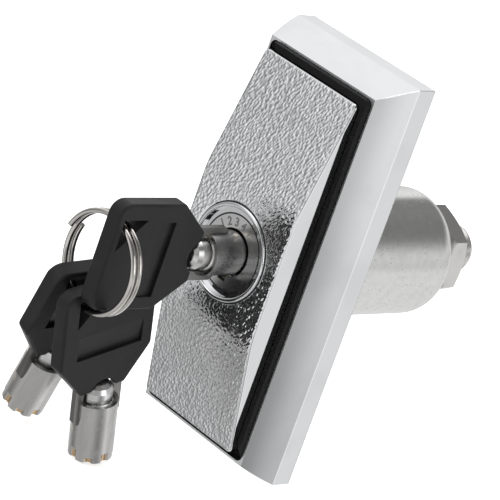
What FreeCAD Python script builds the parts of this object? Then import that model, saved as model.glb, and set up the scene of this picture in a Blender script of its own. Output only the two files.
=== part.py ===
"""Pop-out handle lock for a vending or candy machine, with its tubular key set.

The X axis is the plate's width, Z its length (up) and Y the depth: the front
faces -Y and the barrel runs back along +Y. The origin is the lock's axis on
the plate's back face. The key stands in the lock at its index position, the
handle is pressed in, and two spare keys hang from a split ring.
"""

import FreeCAD, Part
import Sketcher
import math
import os

from FreeCAD import Base

Vector = Base.Vector

# Driving sizes in millimetres and degrees, grouped by the piece that they belong to.
SIZES = {
    # Plate of the housing, from its back face forwards
    "plate_width": 34.8,
    "plate_length": 85.4,
    "plate_wall_depth": 4.5,
    "bezel_side": 2.55,
    "bezel_end": 3.4,
    "rim_depth": 12.8,
    "bezel_bulge": 0.16,
    "rim_ledge_side": 0.4,
    "rim_ledge_end": 0.45,
    "recess_floor": 6.0,
    "recess_corner": 1.4,
    "back_pocket_depth": 2.2,
    "back_pocket_wall": 3.4,
    "back_pocket_land": 2.0,
    "mount_hole_height": 29.0,
    "mount_hole_radius": 1.65,
    "mount_hole_depth": 4.5,
    "mount_boss_radius": 4.2,
    # Barrel behind the plate
    "barrel_wall": 2.57,
    "barrel_end": 33.3,
    "barrel_wall_end": 4.0,
    "barrel_shoulder": 5.0,
    "barrel_root": 0.6,
    # Fits, and how far a cutting outline runs past the material
    "slide_gap": 0.08,
    "turn_gap": 0.06,
    "face_gap": 0.1,
    "seat_gap": 0.02,
    "overrun": 1.0,
    # Rubber liner of the recess
    "liner_floor": 0.8,
    "liner_gap": 0.05,
    "liner_fit": 0.1,
    "liner_proud": 1.5,
    "liner_hole_gap": 0.6,
    # Handle
    "handle_gap_side": 1.4,
    "handle_gap_end": 1.55,
    "handle_corner": 1.0,
    "handle_end_front": 15.1,
    "handle_flat_front": 20.4,
    "handle_flat_half": 13.0,
    "handle_crown": 20.0,
    "handle_edge": 0.4,
    "handle_seat_gap": 0.3,
    "handle_core_side": 2.4,
    "handle_core_inner": 13.2,
    "handle_core_outer": 34.6,
    "handle_core_front": 12.8,
    "handle_rib": 1.8,
    "stem_step": 9.0,
    "stem_tail_wall": 1.0,
    "stem_end": 25.0,
    "stem_partition_front": 0.2,
    "stem_partition_back": 2.0,
    "pop_travel": 12.0,
    # End cap of the stem and the drive shaft in it
    "cap_depth": 3.6,
    "cap_ledge": 0.7,
    "drive_square": 7.0,
    "drive_front": 7.4,
    "drive_flange_radius": 7.0,
    "drive_flange_depth": 1.8,
    "journal_radius": 5.2,
    "stud_radius": 5.0,
    "stud_mesh_radius": 4.5,
    "stud_neck_radius": 4.4,
    "stud_neck_taper": 0.3,
    "stud_end": 47.0,
    "stud_chamfer": 0.7,
    "clip_depth": 1.0,
    "clip_radius": 5.6,
    "clip_gap": 0.3,
    "clip_groove_radius": 3.0,
    "clip_mouth_half": 2.4,
    "clip_mouth_top": 1.2,
    "bush_flange_radius": 7.8,
    "bush_flange_depth": 0.9,
    "bush_wall": 1.5,
    # Hexagon nut on the stud
    "nut_front": 34.9,
    "nut_depth": 5.0,
    "nut_flats": 17.0,
    "nut_turn_angle": -4.0,
    "nut_chamfer_angle": 30.0,
    "nut_face_share": 0.97,
    # Return spring round the stem's tail
    "spring_wire": 1.5,
    "spring_tail_gap": 0.65,
    "spring_bore_gap": 0.55,
    "spring_turns": 4.0,
    "spring_seat_gap": 0.06,
    # Lock collar and cylinder
    "face_front": 19.9,
    "collar_radius": 9.7,
    "collar_proud": 0.55,
    "collar_bead": 0.9,
    "collar_bead_round": 0.38,
    "collar_depth": 3.0,
    "collar_gap": 0.03,
    "shell_radius": 7.55,
    "shell_end": 4.6,
    "face_plate": 1.6,
    "keyway_radius": 4.78,
    "notch_width": 2.0,
    "notch_radius": 5.9,
    "lug_bore_radius": 5.9,
    "spindle_post_radius": 3.58,
    "spindle_disc_radius": 6.3,
    "spindle_front": 15.1,
    "shear_line": 10.25,
    "shear_gap": 0.05,
    "spindle_shaft_radius": 2.4,
    "pin_circle": 4.75,
    "pin_radius": 0.85,
    "pin_hole_gap": 0.03,
    "pin_step_angle": 45.0,
    "driver_length": 2.0,
    "driver_spring_end": 5.5,
    "driver_spring_bore": 0.5,
    "driver_spring_gap": 0.05,
    "bushing_end": 4.8,
    "set_pin_radius": 0.6,
    "set_pin_depth": 5.9,
    "set_pin_inner": 4.3,
    "set_pin_sink": 0.15,
    # Cam and locking bolt
    "cam_radius": 4.6,
    "cam_back": 3.35,
    "cam_pin_radius": 1.0,
    "cam_throw": 1.3,
    "cam_pin_angle": 135.0,
    "cam_pin_root": 0.2,
    "bolt_front": 3.2,
    "bolt_back": 0.5,
    "bolt_width": 7.0,
    "bolt_tip_sink": 0.1,
    "bolt_tail": 5.6,
    "bolt_slot_length": 5.4,
    "bolt_slot_gap": 0.12,
    "bolt_guide_gap": 0.05,
    "bolt_pocket_wall": 0.6,
    "bolt_pocket_gap": 0.2,
    # Key
    "key_tip": 15.2,
    "tube_length": 12.7,
    "tube_radius": 4.4,
    "tube_bore": 3.65,
    "lug_width": 1.4,
    "lug_length": 1.2,
    "lug_offset": 0.5,
    "lug_radius": 5.3,
    "lug_root": 4.0,
    "cut_gap": 0.07,
    "post_radius": 3.15,
    "post_shank_radius": 3.62,
    "post_shank": 4.2,
    "post_length": 4.1,
    "post_dome": 1.9,
    "post_tip_radius": 0.95,
    "post_chamfer": 0.3,
    "tang_thickness": 1.2,
    "tang_half_width": 5.6,
    "tang_reach": 4.8,
    "tang_back": 8.0,
    "tang_web": 2.2,
    "tang_slot_gap": 0.05,
    "tang_corner": 0.9,
    "head_thickness": 3.6,
    "head_length": 23.5,
    "head_width": 22.0,
    "head_neck": 10.4,
    "head_shoulder": 7.2,
    "head_gap": 2.7,
    "head_corner": 2.8,
    "head_shoulder_round": 1.5,
    "head_edge": 0.6,
    "head_notch_radius": 3.7,
    "head_notch_depth": 0.9,
    "hole_offset": 1.6,
    "hole_leg_side": 6.0,
    "hole_leg_end": 6.4,
    "panel_start": 9.8,
    "panel_end": 15.0,
    "panel_top": 7.3,
    "panel_bottom": 8.3,
    "panel_sink": 0.8,
    # Split ring and the spare keys on it
    "ring_radius": 9.7,
    "ring_wire": 1.1,
    "ring_gap": 0.42,
    "ring_turns": 2.0,
    "ring_centre_x": -2.7,
    "ring_start_angle": -70.0,
    "spare_gap": 0.5,
    "spare_1_swing_angle": 16.0,
    "spare_2_swing_angle": 7.0,
    "spare_2_lean_angle": 19.0,
    "spare_2_gap": 1.68,
}

# Depth of each bitting cut of the key, one for each pin, clockwise from the blank place.
CUT_DEPTHS = (0.9, 1.9, 1.2, 2.4, 1.5, 0.7, 2.1)

# Flats of the post's dome: share of its radius and share of its length.
DOME_STEPS = ((0.86, 0.5), (0.62, 0.17))

doc = FreeCAD.newDocument("candy_machine_lock")
sheet = doc.addObject("Spreadsheet::Sheet", "sizes")
for row, (alias, number) in enumerate(SIZES.items(), start=1):
    sheet.set("A%d" % row, alias)
    sheet.set("B%d" % row, str(number))
    sheet.setAlias("B%d" % row, alias)
doc.recompute()


class Size:
    """A size known both as a number and as a formula on the sheet."""

    def __init__(self, value, text):
        self.value = value
        self.text = text

    def __add__(self, other):
        other = as_size(other)
        return Size(self.value + other.value, "(%s + %s)" % (self.text, other.text))

    def __sub__(self, other):
        other = as_size(other)
        return Size(self.value - other.value, "(%s - %s)" % (self.text, other.text))

    def __mul__(self, other):
        other = as_size(other)
        return Size(self.value * other.value, "(%s * %s)" % (self.text, other.text))

    def __truediv__(self, other):
        other = as_size(other)
        return Size(self.value / other.value, "(%s / %s)" % (self.text, other.text))

    def __neg__(self):
        return Size(-self.value, "(0 - %s)" % self.text)

    __radd__ = __add__
    __rmul__ = __mul__


def as_size(number):
    """A bare number as a Size."""
    return number if isinstance(number, Size) else Size(float(number), "(%r)" % float(number))


class Sizes:
    """The sheet's cells as attributes."""

    def __getattr__(self, alias):
        return Size(SIZES[alias], "sizes.%s" % alias)


s = Sizes()


def bind(thing, prop, size):
    """Set one property of an object from a Size."""
    size = as_size(size)
    thing.setExpression(prop, size.text)


def plane_of(body, role):
    """One origin plane of a body."""
    return next(f for f in body.Origin.OriginFeatures if f.Role == role)


def new_body(label):
    """An empty body with its label."""
    body = doc.addObject("PartDesign::Body", label)
    body.Label = label
    return body


def new_sketch(body, role, name, offset=None):
    """A sketch on an origin plane, moved along the plane's normal by offset."""
    sketch = body.newObject("Sketcher::SketchObject", name)
    sketch.AttachmentSupport = [(plane_of(body, role), "")]
    sketch.MapMode = "FlatFace"
    if offset is not None:
        bind(sketch, "AttachmentOffset.Base.z", offset)
    return sketch


def fix_point(sketch, geometry, place, u, v):
    """Tie one point of a sketch to two sizes from the sketch's origin."""
    for kind, axis, size in (("DistanceX", -2, u), ("DistanceY", -1, v)):
        if not isinstance(size, Size) and size == 0:
            sketch.addConstraint(Sketcher.Constraint("PointOnObject", geometry, place, axis))
            continue
        size = as_size(size)
        index = sketch.addConstraint(
            Sketcher.Constraint(kind, -1, 1, geometry, place, size.value)
        )
        name = "c%d" % index
        sketch.renameConstraint(index, name)
        sketch.setExpression("Constraints.%s" % name, size.text)


def outline(sketch, points):
    """A closed outline of straight lines through points given as sizes."""
    flat = [(as_size(u).value, as_size(v).value) for u, v in points]
    first = sketch.GeometryCount
    count = len(points)
    for i, (u, v) in enumerate(flat):
        nu, nv = flat[(i + 1) % count]
        sketch.addGeometry(Part.LineSegment(Vector(u, v, 0), Vector(nu, nv, 0)), False)
    for i in range(count):
        following = first + (i + 1) % count
        sketch.addConstraint(Sketcher.Constraint("Coincident", first + i, 2, following, 1))
    for i, (u, v) in enumerate(points):
        fix_point(sketch, first + i, 1, u, v)


def rectangle(sketch, u0, u1, v0, v1):
    """A rectangle between two pairs of sizes."""
    outline(sketch, [(u0, v0), (u1, v0), (u1, v1), (u0, v1)])


def circle(sketch, u, v, radius):
    """A circle about a point."""
    at = Vector(as_size(u).value, as_size(v).value, 0)
    index = sketch.addGeometry(Part.Circle(at, Vector(0, 0, 1), as_size(radius).value), False)
    fix_point(sketch, index, 3, u, v)
    constraint = sketch.addConstraint(
        Sketcher.Constraint("Radius", index, as_size(radius).value)
    )
    name = "r%d" % constraint
    sketch.renameConstraint(constraint, name)
    sketch.setExpression("Constraints.%s" % name, as_size(radius).text)


def turned(body, name, points):
    """A solid of revolution about Y, from an outline of (radius, y) points."""
    sketch = new_sketch(body, "XY_Plane", name + "_outline")
    outline(sketch, points)
    feature = body.newObject("PartDesign::Revolution", name)
    feature.Profile = sketch
    feature.ReferenceAxis = (sketch, ["V_Axis"])
    feature.Angle = 360
    doc.recompute()
    return feature


def turned_cut(body, name, points):
    """A groove turned about Y, checked to take volume away."""
    before = body.Shape.Volume
    sketch = new_sketch(body, "XY_Plane", name + "_outline")
    outline(sketch, points)
    feature = body.newObject("PartDesign::Groove", name)
    feature.Profile = sketch
    feature.ReferenceAxis = (sketch, ["V_Axis"])
    feature.Angle = 360
    doc.recompute()
    assert body.Shape.Volume < before - 1e-6, name
    return feature


def pad(body, sketch, name, length, both=False, backwards=False):
    """A pad of a sketch along its normal."""
    feature = body.newObject("PartDesign::Pad", name)
    feature.Profile = sketch
    bind(feature, "Length", length)
    feature.Midplane = both
    feature.Reversed = backwards
    doc.recompute()
    return feature


def pocket(body, sketch, name, length, both=False, backwards=False):
    """A pocket against a sketch's normal, checked to take volume away."""
    before = body.Shape.Volume
    feature = body.newObject("PartDesign::Pocket", name)
    feature.Profile = sketch
    bind(feature, "Length", length)
    feature.Midplane = both
    feature.Reversed = backwards
    doc.recompute()
    assert body.Shape.Volume < before - 1e-6, name
    return feature


def edges_where(shape, test):
    """Names of the edges whose two ends and middle all pass a test."""
    names = []
    for i, edge in enumerate(shape.Edges, start=1):
        first, last = edge.ParameterRange
        spots = [edge.valueAt(first), edge.valueAt((first + last) / 2), edge.valueAt(last)]
        if all(test(p) for p in spots):
            names.append("Edge%d" % i)
    return names


def rounded(body, name, radius, test, expected):
    """Fillet the edges of a body that pass a test."""
    base = body.Tip
    names = edges_where(base.Shape, test)
    assert len(names) == expected, "%s: %d edges" % (name, len(names))
    feature = body.newObject("PartDesign::Fillet", name)
    feature.Base = (base, names)
    bind(feature, "Radius", radius)
    doc.recompute()
    return feature


def near(a, b):
    """Whether two lengths are the same size."""
    return abs(a - as_size(b).value) < 1e-3


def group(label, members):
    """Separate solids that share one node."""
    compound = doc.addObject("Part::Compound", label)
    compound.Label = label
    compound.Links = members
    return compound


def rod(name, radius, front, back, x=0, z=0):
    """A cylinder along Y between two depths, at x and z."""
    cylinder = doc.addObject("Part::Cylinder", name)
    bind(cylinder, "Radius", radius)
    bind(cylinder, "Height", back - front)
    cylinder.Placement.Rotation = Base.Rotation(Vector(1, 0, 0), -90)
    bind(cylinder, "Placement.Base.x", x)
    bind(cylinder, "Placement.Base.y", front)
    bind(cylinder, "Placement.Base.z", z)
    return cylinder


def pin_places():
    """Angle and centre (x, z) of each lock pin, clockwise from the blank place below."""
    places = []
    for i in range(len(CUT_DEPTHS)):
        angle = 180.0 + SIZES["pin_step_angle"] * (i + 1)
        turn = "(180deg + sizes.pin_step_angle * 1deg * %d)" % (i + 1)
        x = Size(math.sin(math.radians(angle)), "sin%s" % turn) * s.pin_circle
        z = Size(math.cos(math.radians(angle)), "cos%s" % turn) * s.pin_circle
        places.append((x, z))
    return places


# The cast housing: plate with its bezel and recess, and the barrel behind it.
# The rim, the recess and the handle in it follow from the plate's outline.
rim_width = s.plate_width - s.bezel_side * 2
rim_length = s.plate_length - s.bezel_end * 2
recess_width = rim_width - s.rim_ledge_side * 2
recess_length = rim_length - s.rim_ledge_end * 2
handle_width = recess_width - s.handle_gap_side * 2
handle_length = recess_length - s.handle_gap_end * 2
# From the clip outwards, each wall and each gap sets the next radius.
stem_chamber_radius = s.clip_radius + s.clip_gap
cap_radius = stem_chamber_radius + s.cap_ledge
stem_tail_radius = cap_radius + s.stem_tail_wall
spring_radius = stem_tail_radius + s.spring_tail_gap + s.spring_wire / 2
stem_radius = spring_radius + s.spring_wire / 2 + s.spring_bore_gap
bore_radius = stem_radius + s.slide_gap
barrel_radius = bore_radius + s.barrel_wall
bolt_tip_radius = stem_radius - s.bolt_tip_sink
bolt_pocket_radius = barrel_radius - s.bolt_pocket_wall
rear_wall_front = s.barrel_end - s.barrel_wall_end
bush_radius = s.journal_radius + s.turn_gap + s.bush_wall


def make_housing():
    """Plate, bezel, recess, barrel, stem bore and bolt pocket in one casting."""
    body = new_body("housing")
    base = new_sketch(body, "XZ_Plane", "plate_outline")
    rectangle(base, -s.plate_width / 2, s.plate_width / 2, -s.plate_length / 2, s.plate_length / 2)
    pad(body, base, "plate_block", s.plate_wall_depth)

    # The bezel's faces bulge a little between the side wall and the rim.
    levels = []
    for i, share in enumerate((0.0, 0.5, 1.0)):
        bulge = s.bezel_bulge if share == 0.5 else as_size(0.0)
        half_width = s.plate_width / 2 * (1 - share) + rim_width / 2 * share + bulge
        half_length = s.plate_length / 2 * (1 - share) + rim_length / 2 * share + bulge
        depth = s.plate_wall_depth * (1 - share) + s.rim_depth * share
        level = new_sketch(body, "XZ_Plane", "bezel_level_%d" % i, depth)
        rectangle(level, -half_width, half_width, -half_length, half_length)
        levels.append(level)
    doc.recompute()
    bezel = body.newObject("PartDesign::AdditiveLoft", "bezel")
    bezel.Profile = levels[0]
    bezel.Sections = levels[1:]
    bezel.Ruled = False
    doc.recompute()

    recess = new_sketch(body, "XZ_Plane", "recess_outline", s.rim_depth)
    half_w, half_l = recess_width / 2, recess_length / 2
    rectangle(recess, -half_w, half_w, -half_l, half_l)
    pocket(body, recess, "recess", s.rim_depth - s.recess_floor)
    rounded(
        body, "recess_corners", s.recess_corner,
        lambda p: near(abs(p.x), half_w) and near(abs(p.z), half_l), 4,
    )

    turned(body, "barrel", [
        (0, -s.barrel_root), (barrel_radius, -s.barrel_root),
        (barrel_radius, s.barrel_end), (0, s.barrel_end),
    ])
    rounded(
        body, "barrel_rear_shoulder", s.barrel_shoulder,
        lambda p: near(p.y, s.barrel_end), 1,
    )
    turned_cut(body, "stem_bore", [
        (0, -s.recess_floor - s.overrun), (bore_radius, -s.recess_floor - s.overrun),
        (bore_radius, rear_wall_front), (bush_radius, rear_wall_front),
        (bush_radius, s.barrel_end + s.overrun), (0, s.barrel_end + s.overrun),
    ])

    slot = new_sketch(body, "XZ_Plane", "bolt_pocket_outline", s.bolt_back - s.bolt_pocket_gap)
    half = s.bolt_width / 2 + s.bolt_pocket_gap
    rectangle(slot, -half, half, stem_radius - s.overrun, bolt_pocket_radius)
    pocket(
        body, slot, "bolt_pocket",
        s.bolt_front - s.bolt_back + s.bolt_pocket_gap * 2, backwards=True,
    )

    # The back of the thick plate is cored above and below the barrel, round a screw boss.
    for name, side in (("upper", 1), ("lower", -1)):
        core = new_sketch(body, "XZ_Plane", name + "_core_outline")
        half = s.plate_width / 2 - s.back_pocket_wall
        inner = (barrel_radius + s.back_pocket_land) * side
        outer = (s.plate_length / 2 - s.back_pocket_wall) * side
        rectangle(core, -half, half, inner, outer)
        circle(core, 0, s.mount_hole_height * side, s.mount_boss_radius)
        pocket(body, core, name + "_back_core", s.back_pocket_depth, backwards=True)
        screw = new_sketch(body, "XZ_Plane", name + "_screw_hole_outline")
        circle(screw, 0, s.mount_hole_height * side, s.mount_hole_radius)
        pocket(body, screw, name + "_screw_hole", s.mount_hole_depth, backwards=True)
    return body


def make_liner():
    """Rubber tray that lines the recess and stands a little proud round the handle."""
    body = new_body("recess_gasket")
    half_w = recess_width / 2 - s.liner_gap
    half_l = recess_length / 2 - s.liner_gap
    tray = new_sketch(body, "XZ_Plane", "tray_outline", s.recess_floor)
    rectangle(tray, -half_w, half_w, -half_l, half_l)
    pad(body, tray, "tray", s.rim_depth + s.liner_proud - s.recess_floor)
    in_w, in_l = handle_width / 2 + s.liner_fit, handle_length / 2 + s.liner_fit
    hollow = new_sketch(body, "XZ_Plane", "hollow_outline", s.recess_floor + s.liner_floor)
    rectangle(hollow, -in_w, in_w, -in_l, in_l)
    pocket(
        body, hollow, "hollow",
        s.rim_depth + s.liner_proud - s.recess_floor, backwards=True,
    )
    rounded(
        body, "hollow_corners", s.handle_corner + s.liner_fit,
        lambda p: near(abs(p.x), in_w) and near(abs(p.z), in_l), 4,
    )
    rounded(
        body, "tray_corners", s.recess_corner - s.liner_gap,
        lambda p: near(abs(p.x), half_w) and near(abs(p.z), half_l), 4,
    )
    turned_cut(body, "stem_hole", [
        (0, -s.rim_depth), (stem_radius + s.liner_hole_gap, -s.rim_depth),
        (stem_radius + s.liner_hole_gap, 0), (0, 0),
    ])
    return body


def make_bushing():
    """Flanged bronze bush in the barrel's rear wall."""
    body = new_body("rear_bushing")
    bore = s.journal_radius + s.turn_gap
    turned(body, "bush", [
        (bore, rear_wall_front - s.bush_flange_depth),
        (s.bush_flange_radius, rear_wall_front - s.bush_flange_depth),
        (s.bush_flange_radius, rear_wall_front), (bush_radius, rear_wall_front),
        (bush_radius, s.barrel_end), (bore, s.barrel_end),
    ])
    return body


clip_back = s.stem_end - s.cap_depth - s.pop_travel - s.face_gap
flange_back = rear_wall_front - s.bush_flange_depth
nut_back = s.nut_front + s.nut_depth


def make_drive_shaft():
    """Square shaft with a flange, a clip groove and the threaded stud behind the barrel."""
    body = new_body("drive_shaft")
    turned(body, "stud", [
        (0, flange_back - s.drive_flange_depth),
        (s.drive_flange_radius, flange_back - s.drive_flange_depth),
        (s.drive_flange_radius, flange_back), (s.journal_radius, flange_back),
        (s.journal_radius, s.barrel_end), (s.stud_neck_radius, s.barrel_end + s.stud_neck_taper),
        (s.stud_neck_radius, s.nut_front), (s.stud_mesh_radius, s.nut_front),
        (s.stud_mesh_radius, nut_back), (s.stud_radius, nut_back),
        (s.stud_radius, s.stud_end - s.stud_chamfer),
        (s.stud_radius - s.stud_chamfer, s.stud_end), (0, s.stud_end),
    ])
    half = s.drive_square / 2
    square = new_sketch(body, "XZ_Plane", "square_outline", -s.drive_front)
    rectangle(square, -half, half, -half, half)
    pad(
        body, square, "square",
        flange_back - s.drive_flange_depth / 2 - s.drive_front, backwards=True,
    )
    turned_cut(body, "clip_groove", [
        (s.clip_groove_radius, clip_back - s.clip_depth), (s.drive_square, clip_back - s.clip_depth),
        (s.drive_square, clip_back), (s.clip_groove_radius, clip_back),
    ])
    return body


def make_clip():
    """Retaining ring in the shaft's groove: it stops the handle at its full travel."""
    body = new_body("shaft_clip")
    inner = s.clip_groove_radius + s.seat_gap
    front = clip_back - s.clip_depth + s.seat_gap
    back = clip_back - s.seat_gap
    turned(body, "ring", [
        (inner, front), (s.clip_radius, front), (s.clip_radius, back), (inner, back),
    ])
    mouth = new_sketch(body, "XZ_Plane", "mouth_outline", -clip_back)
    half = s.clip_mouth_half
    rectangle(mouth, -half, half, -s.clip_radius - s.overrun, -s.clip_mouth_top)
    pocket(body, mouth, "mouth", s.clip_depth * 2, both=True)
    return body


def make_nut():
    """Hexagon nut on the stud, chamfered on both sides."""
    body = new_body("hex_nut")
    reach = s.nut_flats / 2 * (1 / math.cos(math.radians(30)))
    hexagon = new_sketch(body, "XZ_Plane", "hexagon_outline", -s.nut_front)
    corners = []
    for i in range(6):
        turn = "(%ddeg + sizes.nut_turn_angle * 1deg)" % (60 * i)
        angle = math.radians(60 * i + SIZES["nut_turn_angle"])
        x = Size(math.sin(angle), "sin%s" % turn) * reach
        z = Size(math.cos(angle), "cos%s" % turn) * reach
        corners.append((x, z))
    outline(hexagon, corners)
    pad(body, hexagon, "hexagon", s.nut_depth, backwards=True)
    slope = Size(
        math.tan(math.radians(SIZES["nut_chamfer_angle"])),
        "tan(sizes.nut_chamfer_angle * 1deg)",
    )
    start = s.nut_flats / 2 * s.nut_face_share
    run = reach + s.overrun - start
    for name, face, sign in (("front", s.nut_front, 1), ("rear", nut_back, -1)):
        turned_cut(body, name + "_chamfer", [
            (start, face), (start, face - s.overrun * sign),
            (start + run, face - s.overrun * sign), (start + run, face + run * slope * sign),
        ])
    bore = s.stud_mesh_radius + s.seat_gap
    turned_cut(body, "bore", [
        (0, s.nut_front - s.overrun), (bore, s.nut_front - s.overrun),
        (bore, nut_back + s.overrun), (0, nut_back + s.overrun),
    ])
    return body


def arc_from_tangent(start, tangent, end):
    """The arc that leaves start along a tangent and passes through end."""
    chord = end - start
    along = Vector(chord).normalize()
    side = tangent - along * tangent.dot(along)
    if side.Length < 1e-9:
        return Part.LineSegment(start, end)
    side.normalize()
    angle = math.acos(max(-1.0, min(1.0, tangent.dot(along))))
    middle = (start + end) * 0.5 + side * (chord.Length / 2 * math.tan(angle / 2))
    return Part.Arc(start, middle, end)


def biarc(start, start_tangent, end, end_tangent):
    """Two arcs that join two points with the given tangents."""
    span = end - start
    both = start_tangent + end_tangent
    a = 2 * (1 - start_tangent.dot(end_tangent))
    b = 2 * span.dot(both)
    c = -span.dot(span)
    length = (-b + math.sqrt(b * b - 4 * a * c)) / (2 * a)
    joint = (start + end) * 0.5 + (start_tangent - end_tangent) * (length / 2)
    joint_tangent = (joint - start - start_tangent * length).normalize()
    return [
        arc_from_tangent(start, start_tangent, joint),
        arc_from_tangent(joint, joint_tangent, end),
    ]


def coil_shape(centre, radius, wire, pitch, turns, start_angle):
    """A round wire wound about Y through a point, in quarter turns of two arcs each."""
    steps = int(round(turns * 4))
    rise = pitch / (2 * math.pi)

    def place(angle):
        return centre + Vector(
            radius * math.sin(angle), rise * (angle - start_angle), radius * math.cos(angle)
        )

    def direction(angle):
        return Vector(
            radius * math.cos(angle), rise, -radius * math.sin(angle)
        ).normalize()

    edges = []
    for i in range(steps):
        a = start_angle + i * math.pi / 2
        b = a + math.pi / 2
        for curve in biarc(place(a), direction(a), place(b), direction(b)):
            edges.append(curve.toShape())
    path = Part.Wire(edges)
    ring = Part.Wire(Part.makeCircle(wire / 2, place(start_angle), direction(start_angle)))
    return path.makePipeShell([ring], True, False)


def make_return_spring():
    """Coil spring between the stem's step and the barrel's rear wall."""
    feature = doc.addObject("Part::Feature", "return_spring")
    feature.Label = "return_spring"
    wire = SIZES["spring_wire"]
    front = SIZES["stem_step"] + SIZES["spring_seat_gap"] + wire / 2
    back = rear_wall_front.value - SIZES["spring_seat_gap"] - wire / 2
    turns = SIZES["spring_turns"]
    pitch = (back - front) / turns
    feature.Shape = coil_shape(
        Vector(0, front, 0), spring_radius.value, wire, pitch, turns, 0.0
    )
    print("return spring: gap between turns %.2f mm" % (pitch - wire))
    return feature


cap_front = s.stem_end - s.cap_depth
handle_back = s.recess_floor + s.liner_floor + s.handle_seat_gap


def make_handle():
    """Crowned handle cast with its hollow stem."""
    body = new_body("handle")
    side = new_sketch(body, "YZ_Plane", "side_outline")
    half_l = handle_length / 2
    outline(side, [
        (-handle_back, -half_l), (-s.handle_end_front, -half_l),
        (-s.handle_flat_front, -s.handle_flat_half), (-s.handle_flat_front, s.handle_flat_half),
        (-s.handle_end_front, half_l), (-handle_back, half_l),
    ])
    pad(body, side, "grip", handle_width, both=True)
    half_w = handle_width / 2
    rounded(
        body, "grip_corners", s.handle_corner,
        lambda p: near(abs(p.x), half_w) and near(abs(p.z), half_l), 4,
    )
    rounded(
        body, "crown_transitions", s.handle_crown,
        lambda p: near(abs(p.z), s.handle_flat_half) and near(p.y, -s.handle_flat_front), 2,
    )

    def on_rim(p):
        in_corner = (
            abs(p.x) > (half_w - s.handle_corner).value
            and abs(p.z) > (half_l - s.handle_corner).value
        )
        on_side = near(abs(p.x), half_w) or near(abs(p.z), half_l) or in_corner
        return on_side and p.y < -SIZES["handle_end_front"] + 1e-3

    rounded(body, "grip_edge", s.handle_edge, on_rim, 16)

    # Two cored pockets in the underside leave the walls and a rib.
    for name, sign in (("upper", 1), ("lower", -1)):
        for part, x0, x1 in (
            ("left", -half_w + s.handle_core_side, -s.handle_rib / 2),
            ("right", s.handle_rib / 2, half_w - s.handle_core_side),
        ):
            core = new_sketch(body, "XZ_Plane", "%s_%s_core_outline" % (name, part), handle_back)
            z0, z1 = s.handle_core_inner * sign, s.handle_core_outer * sign
            rectangle(core, x0, x1, z0, z1)
            pocket(
                body, core, "%s_%s_core" % (name, part),
                s.handle_core_front - handle_back, backwards=True,
            )

    turned(body, "stem", [
        (0, -handle_back - s.overrun), (stem_radius, -handle_back - s.overrun),
        (stem_radius, s.stem_step),
        (stem_tail_radius, s.stem_step), (stem_tail_radius, s.stem_end), (0, s.stem_end),
    ])
    turned_cut(body, "collar_seat", [
        (0, -s.handle_flat_front - s.overrun),
        (s.collar_radius + s.collar_gap, -s.handle_flat_front - s.overrun),
        (s.collar_radius + s.collar_gap, -s.handle_flat_front + s.collar_depth),
        (s.shell_radius + s.collar_gap, -s.handle_flat_front + s.collar_depth),
        (s.shell_radius + s.collar_gap, -s.stem_partition_front), (0, -s.stem_partition_front),
    ])
    cap_seat = cap_radius + s.collar_gap
    turned_cut(body, "clip_chamber", [
        (0, s.stem_partition_back), (stem_chamber_radius, s.stem_partition_back),
        (stem_chamber_radius, cap_front), (cap_seat, cap_front),
        (cap_seat, s.stem_end + s.overrun), (0, s.stem_end + s.overrun),
    ])
    window = new_sketch(body, "XZ_Plane", "bolt_window_outline", s.bolt_back - s.bolt_guide_gap)
    half = s.bolt_width / 2 + s.bolt_guide_gap
    rectangle(window, -half, half, s.shell_radius - s.overrun, stem_radius + s.overrun)
    pocket(
        body, window, "bolt_window",
        s.bolt_front - s.bolt_back + s.bolt_guide_gap * 2, backwards=True,
    )
    hole = new_sketch(body, "XY_Plane", "set_pin_hole_outline")
    circle(hole, 0, -s.set_pin_depth, s.set_pin_radius)
    pocket(body, hole, "set_pin_hole", stem_radius + s.overrun)
    return body


def make_end_cap():
    """Cap in the stem's end whose square hole slides along the drive shaft."""
    body = new_body("stem_end_cap")
    turned(body, "disc", [
        (0, cap_front), (cap_radius, cap_front), (cap_radius, s.stem_end), (0, s.stem_end),
    ])
    half = s.drive_square / 2 + s.slide_gap
    hole = new_sketch(body, "XZ_Plane", "square_hole_outline", -s.stem_end - s.overrun)
    rectangle(hole, -half, half, -half, half)
    pocket(body, hole, "square_hole", s.cap_depth + s.overrun * 2, backwards=True)
    return body


def make_collar():
    """Chrome trim ring with a beaded lip round the lock's face."""
    body = new_body("lock_collar")
    bore = s.shell_radius + s.collar_gap
    back = -s.handle_flat_front + s.collar_depth
    lip = -s.handle_flat_front - s.collar_proud
    inner = s.collar_radius - s.collar_bead
    turned(body, "trim", [
        (bore, -s.face_front), (inner, -s.face_front), (inner, lip),
        (s.collar_radius, lip), (s.collar_radius, back), (bore, back),
    ])
    rounded(body, "bead", s.collar_bead_round, lambda p: near(p.y, lip), 2)
    return body


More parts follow.
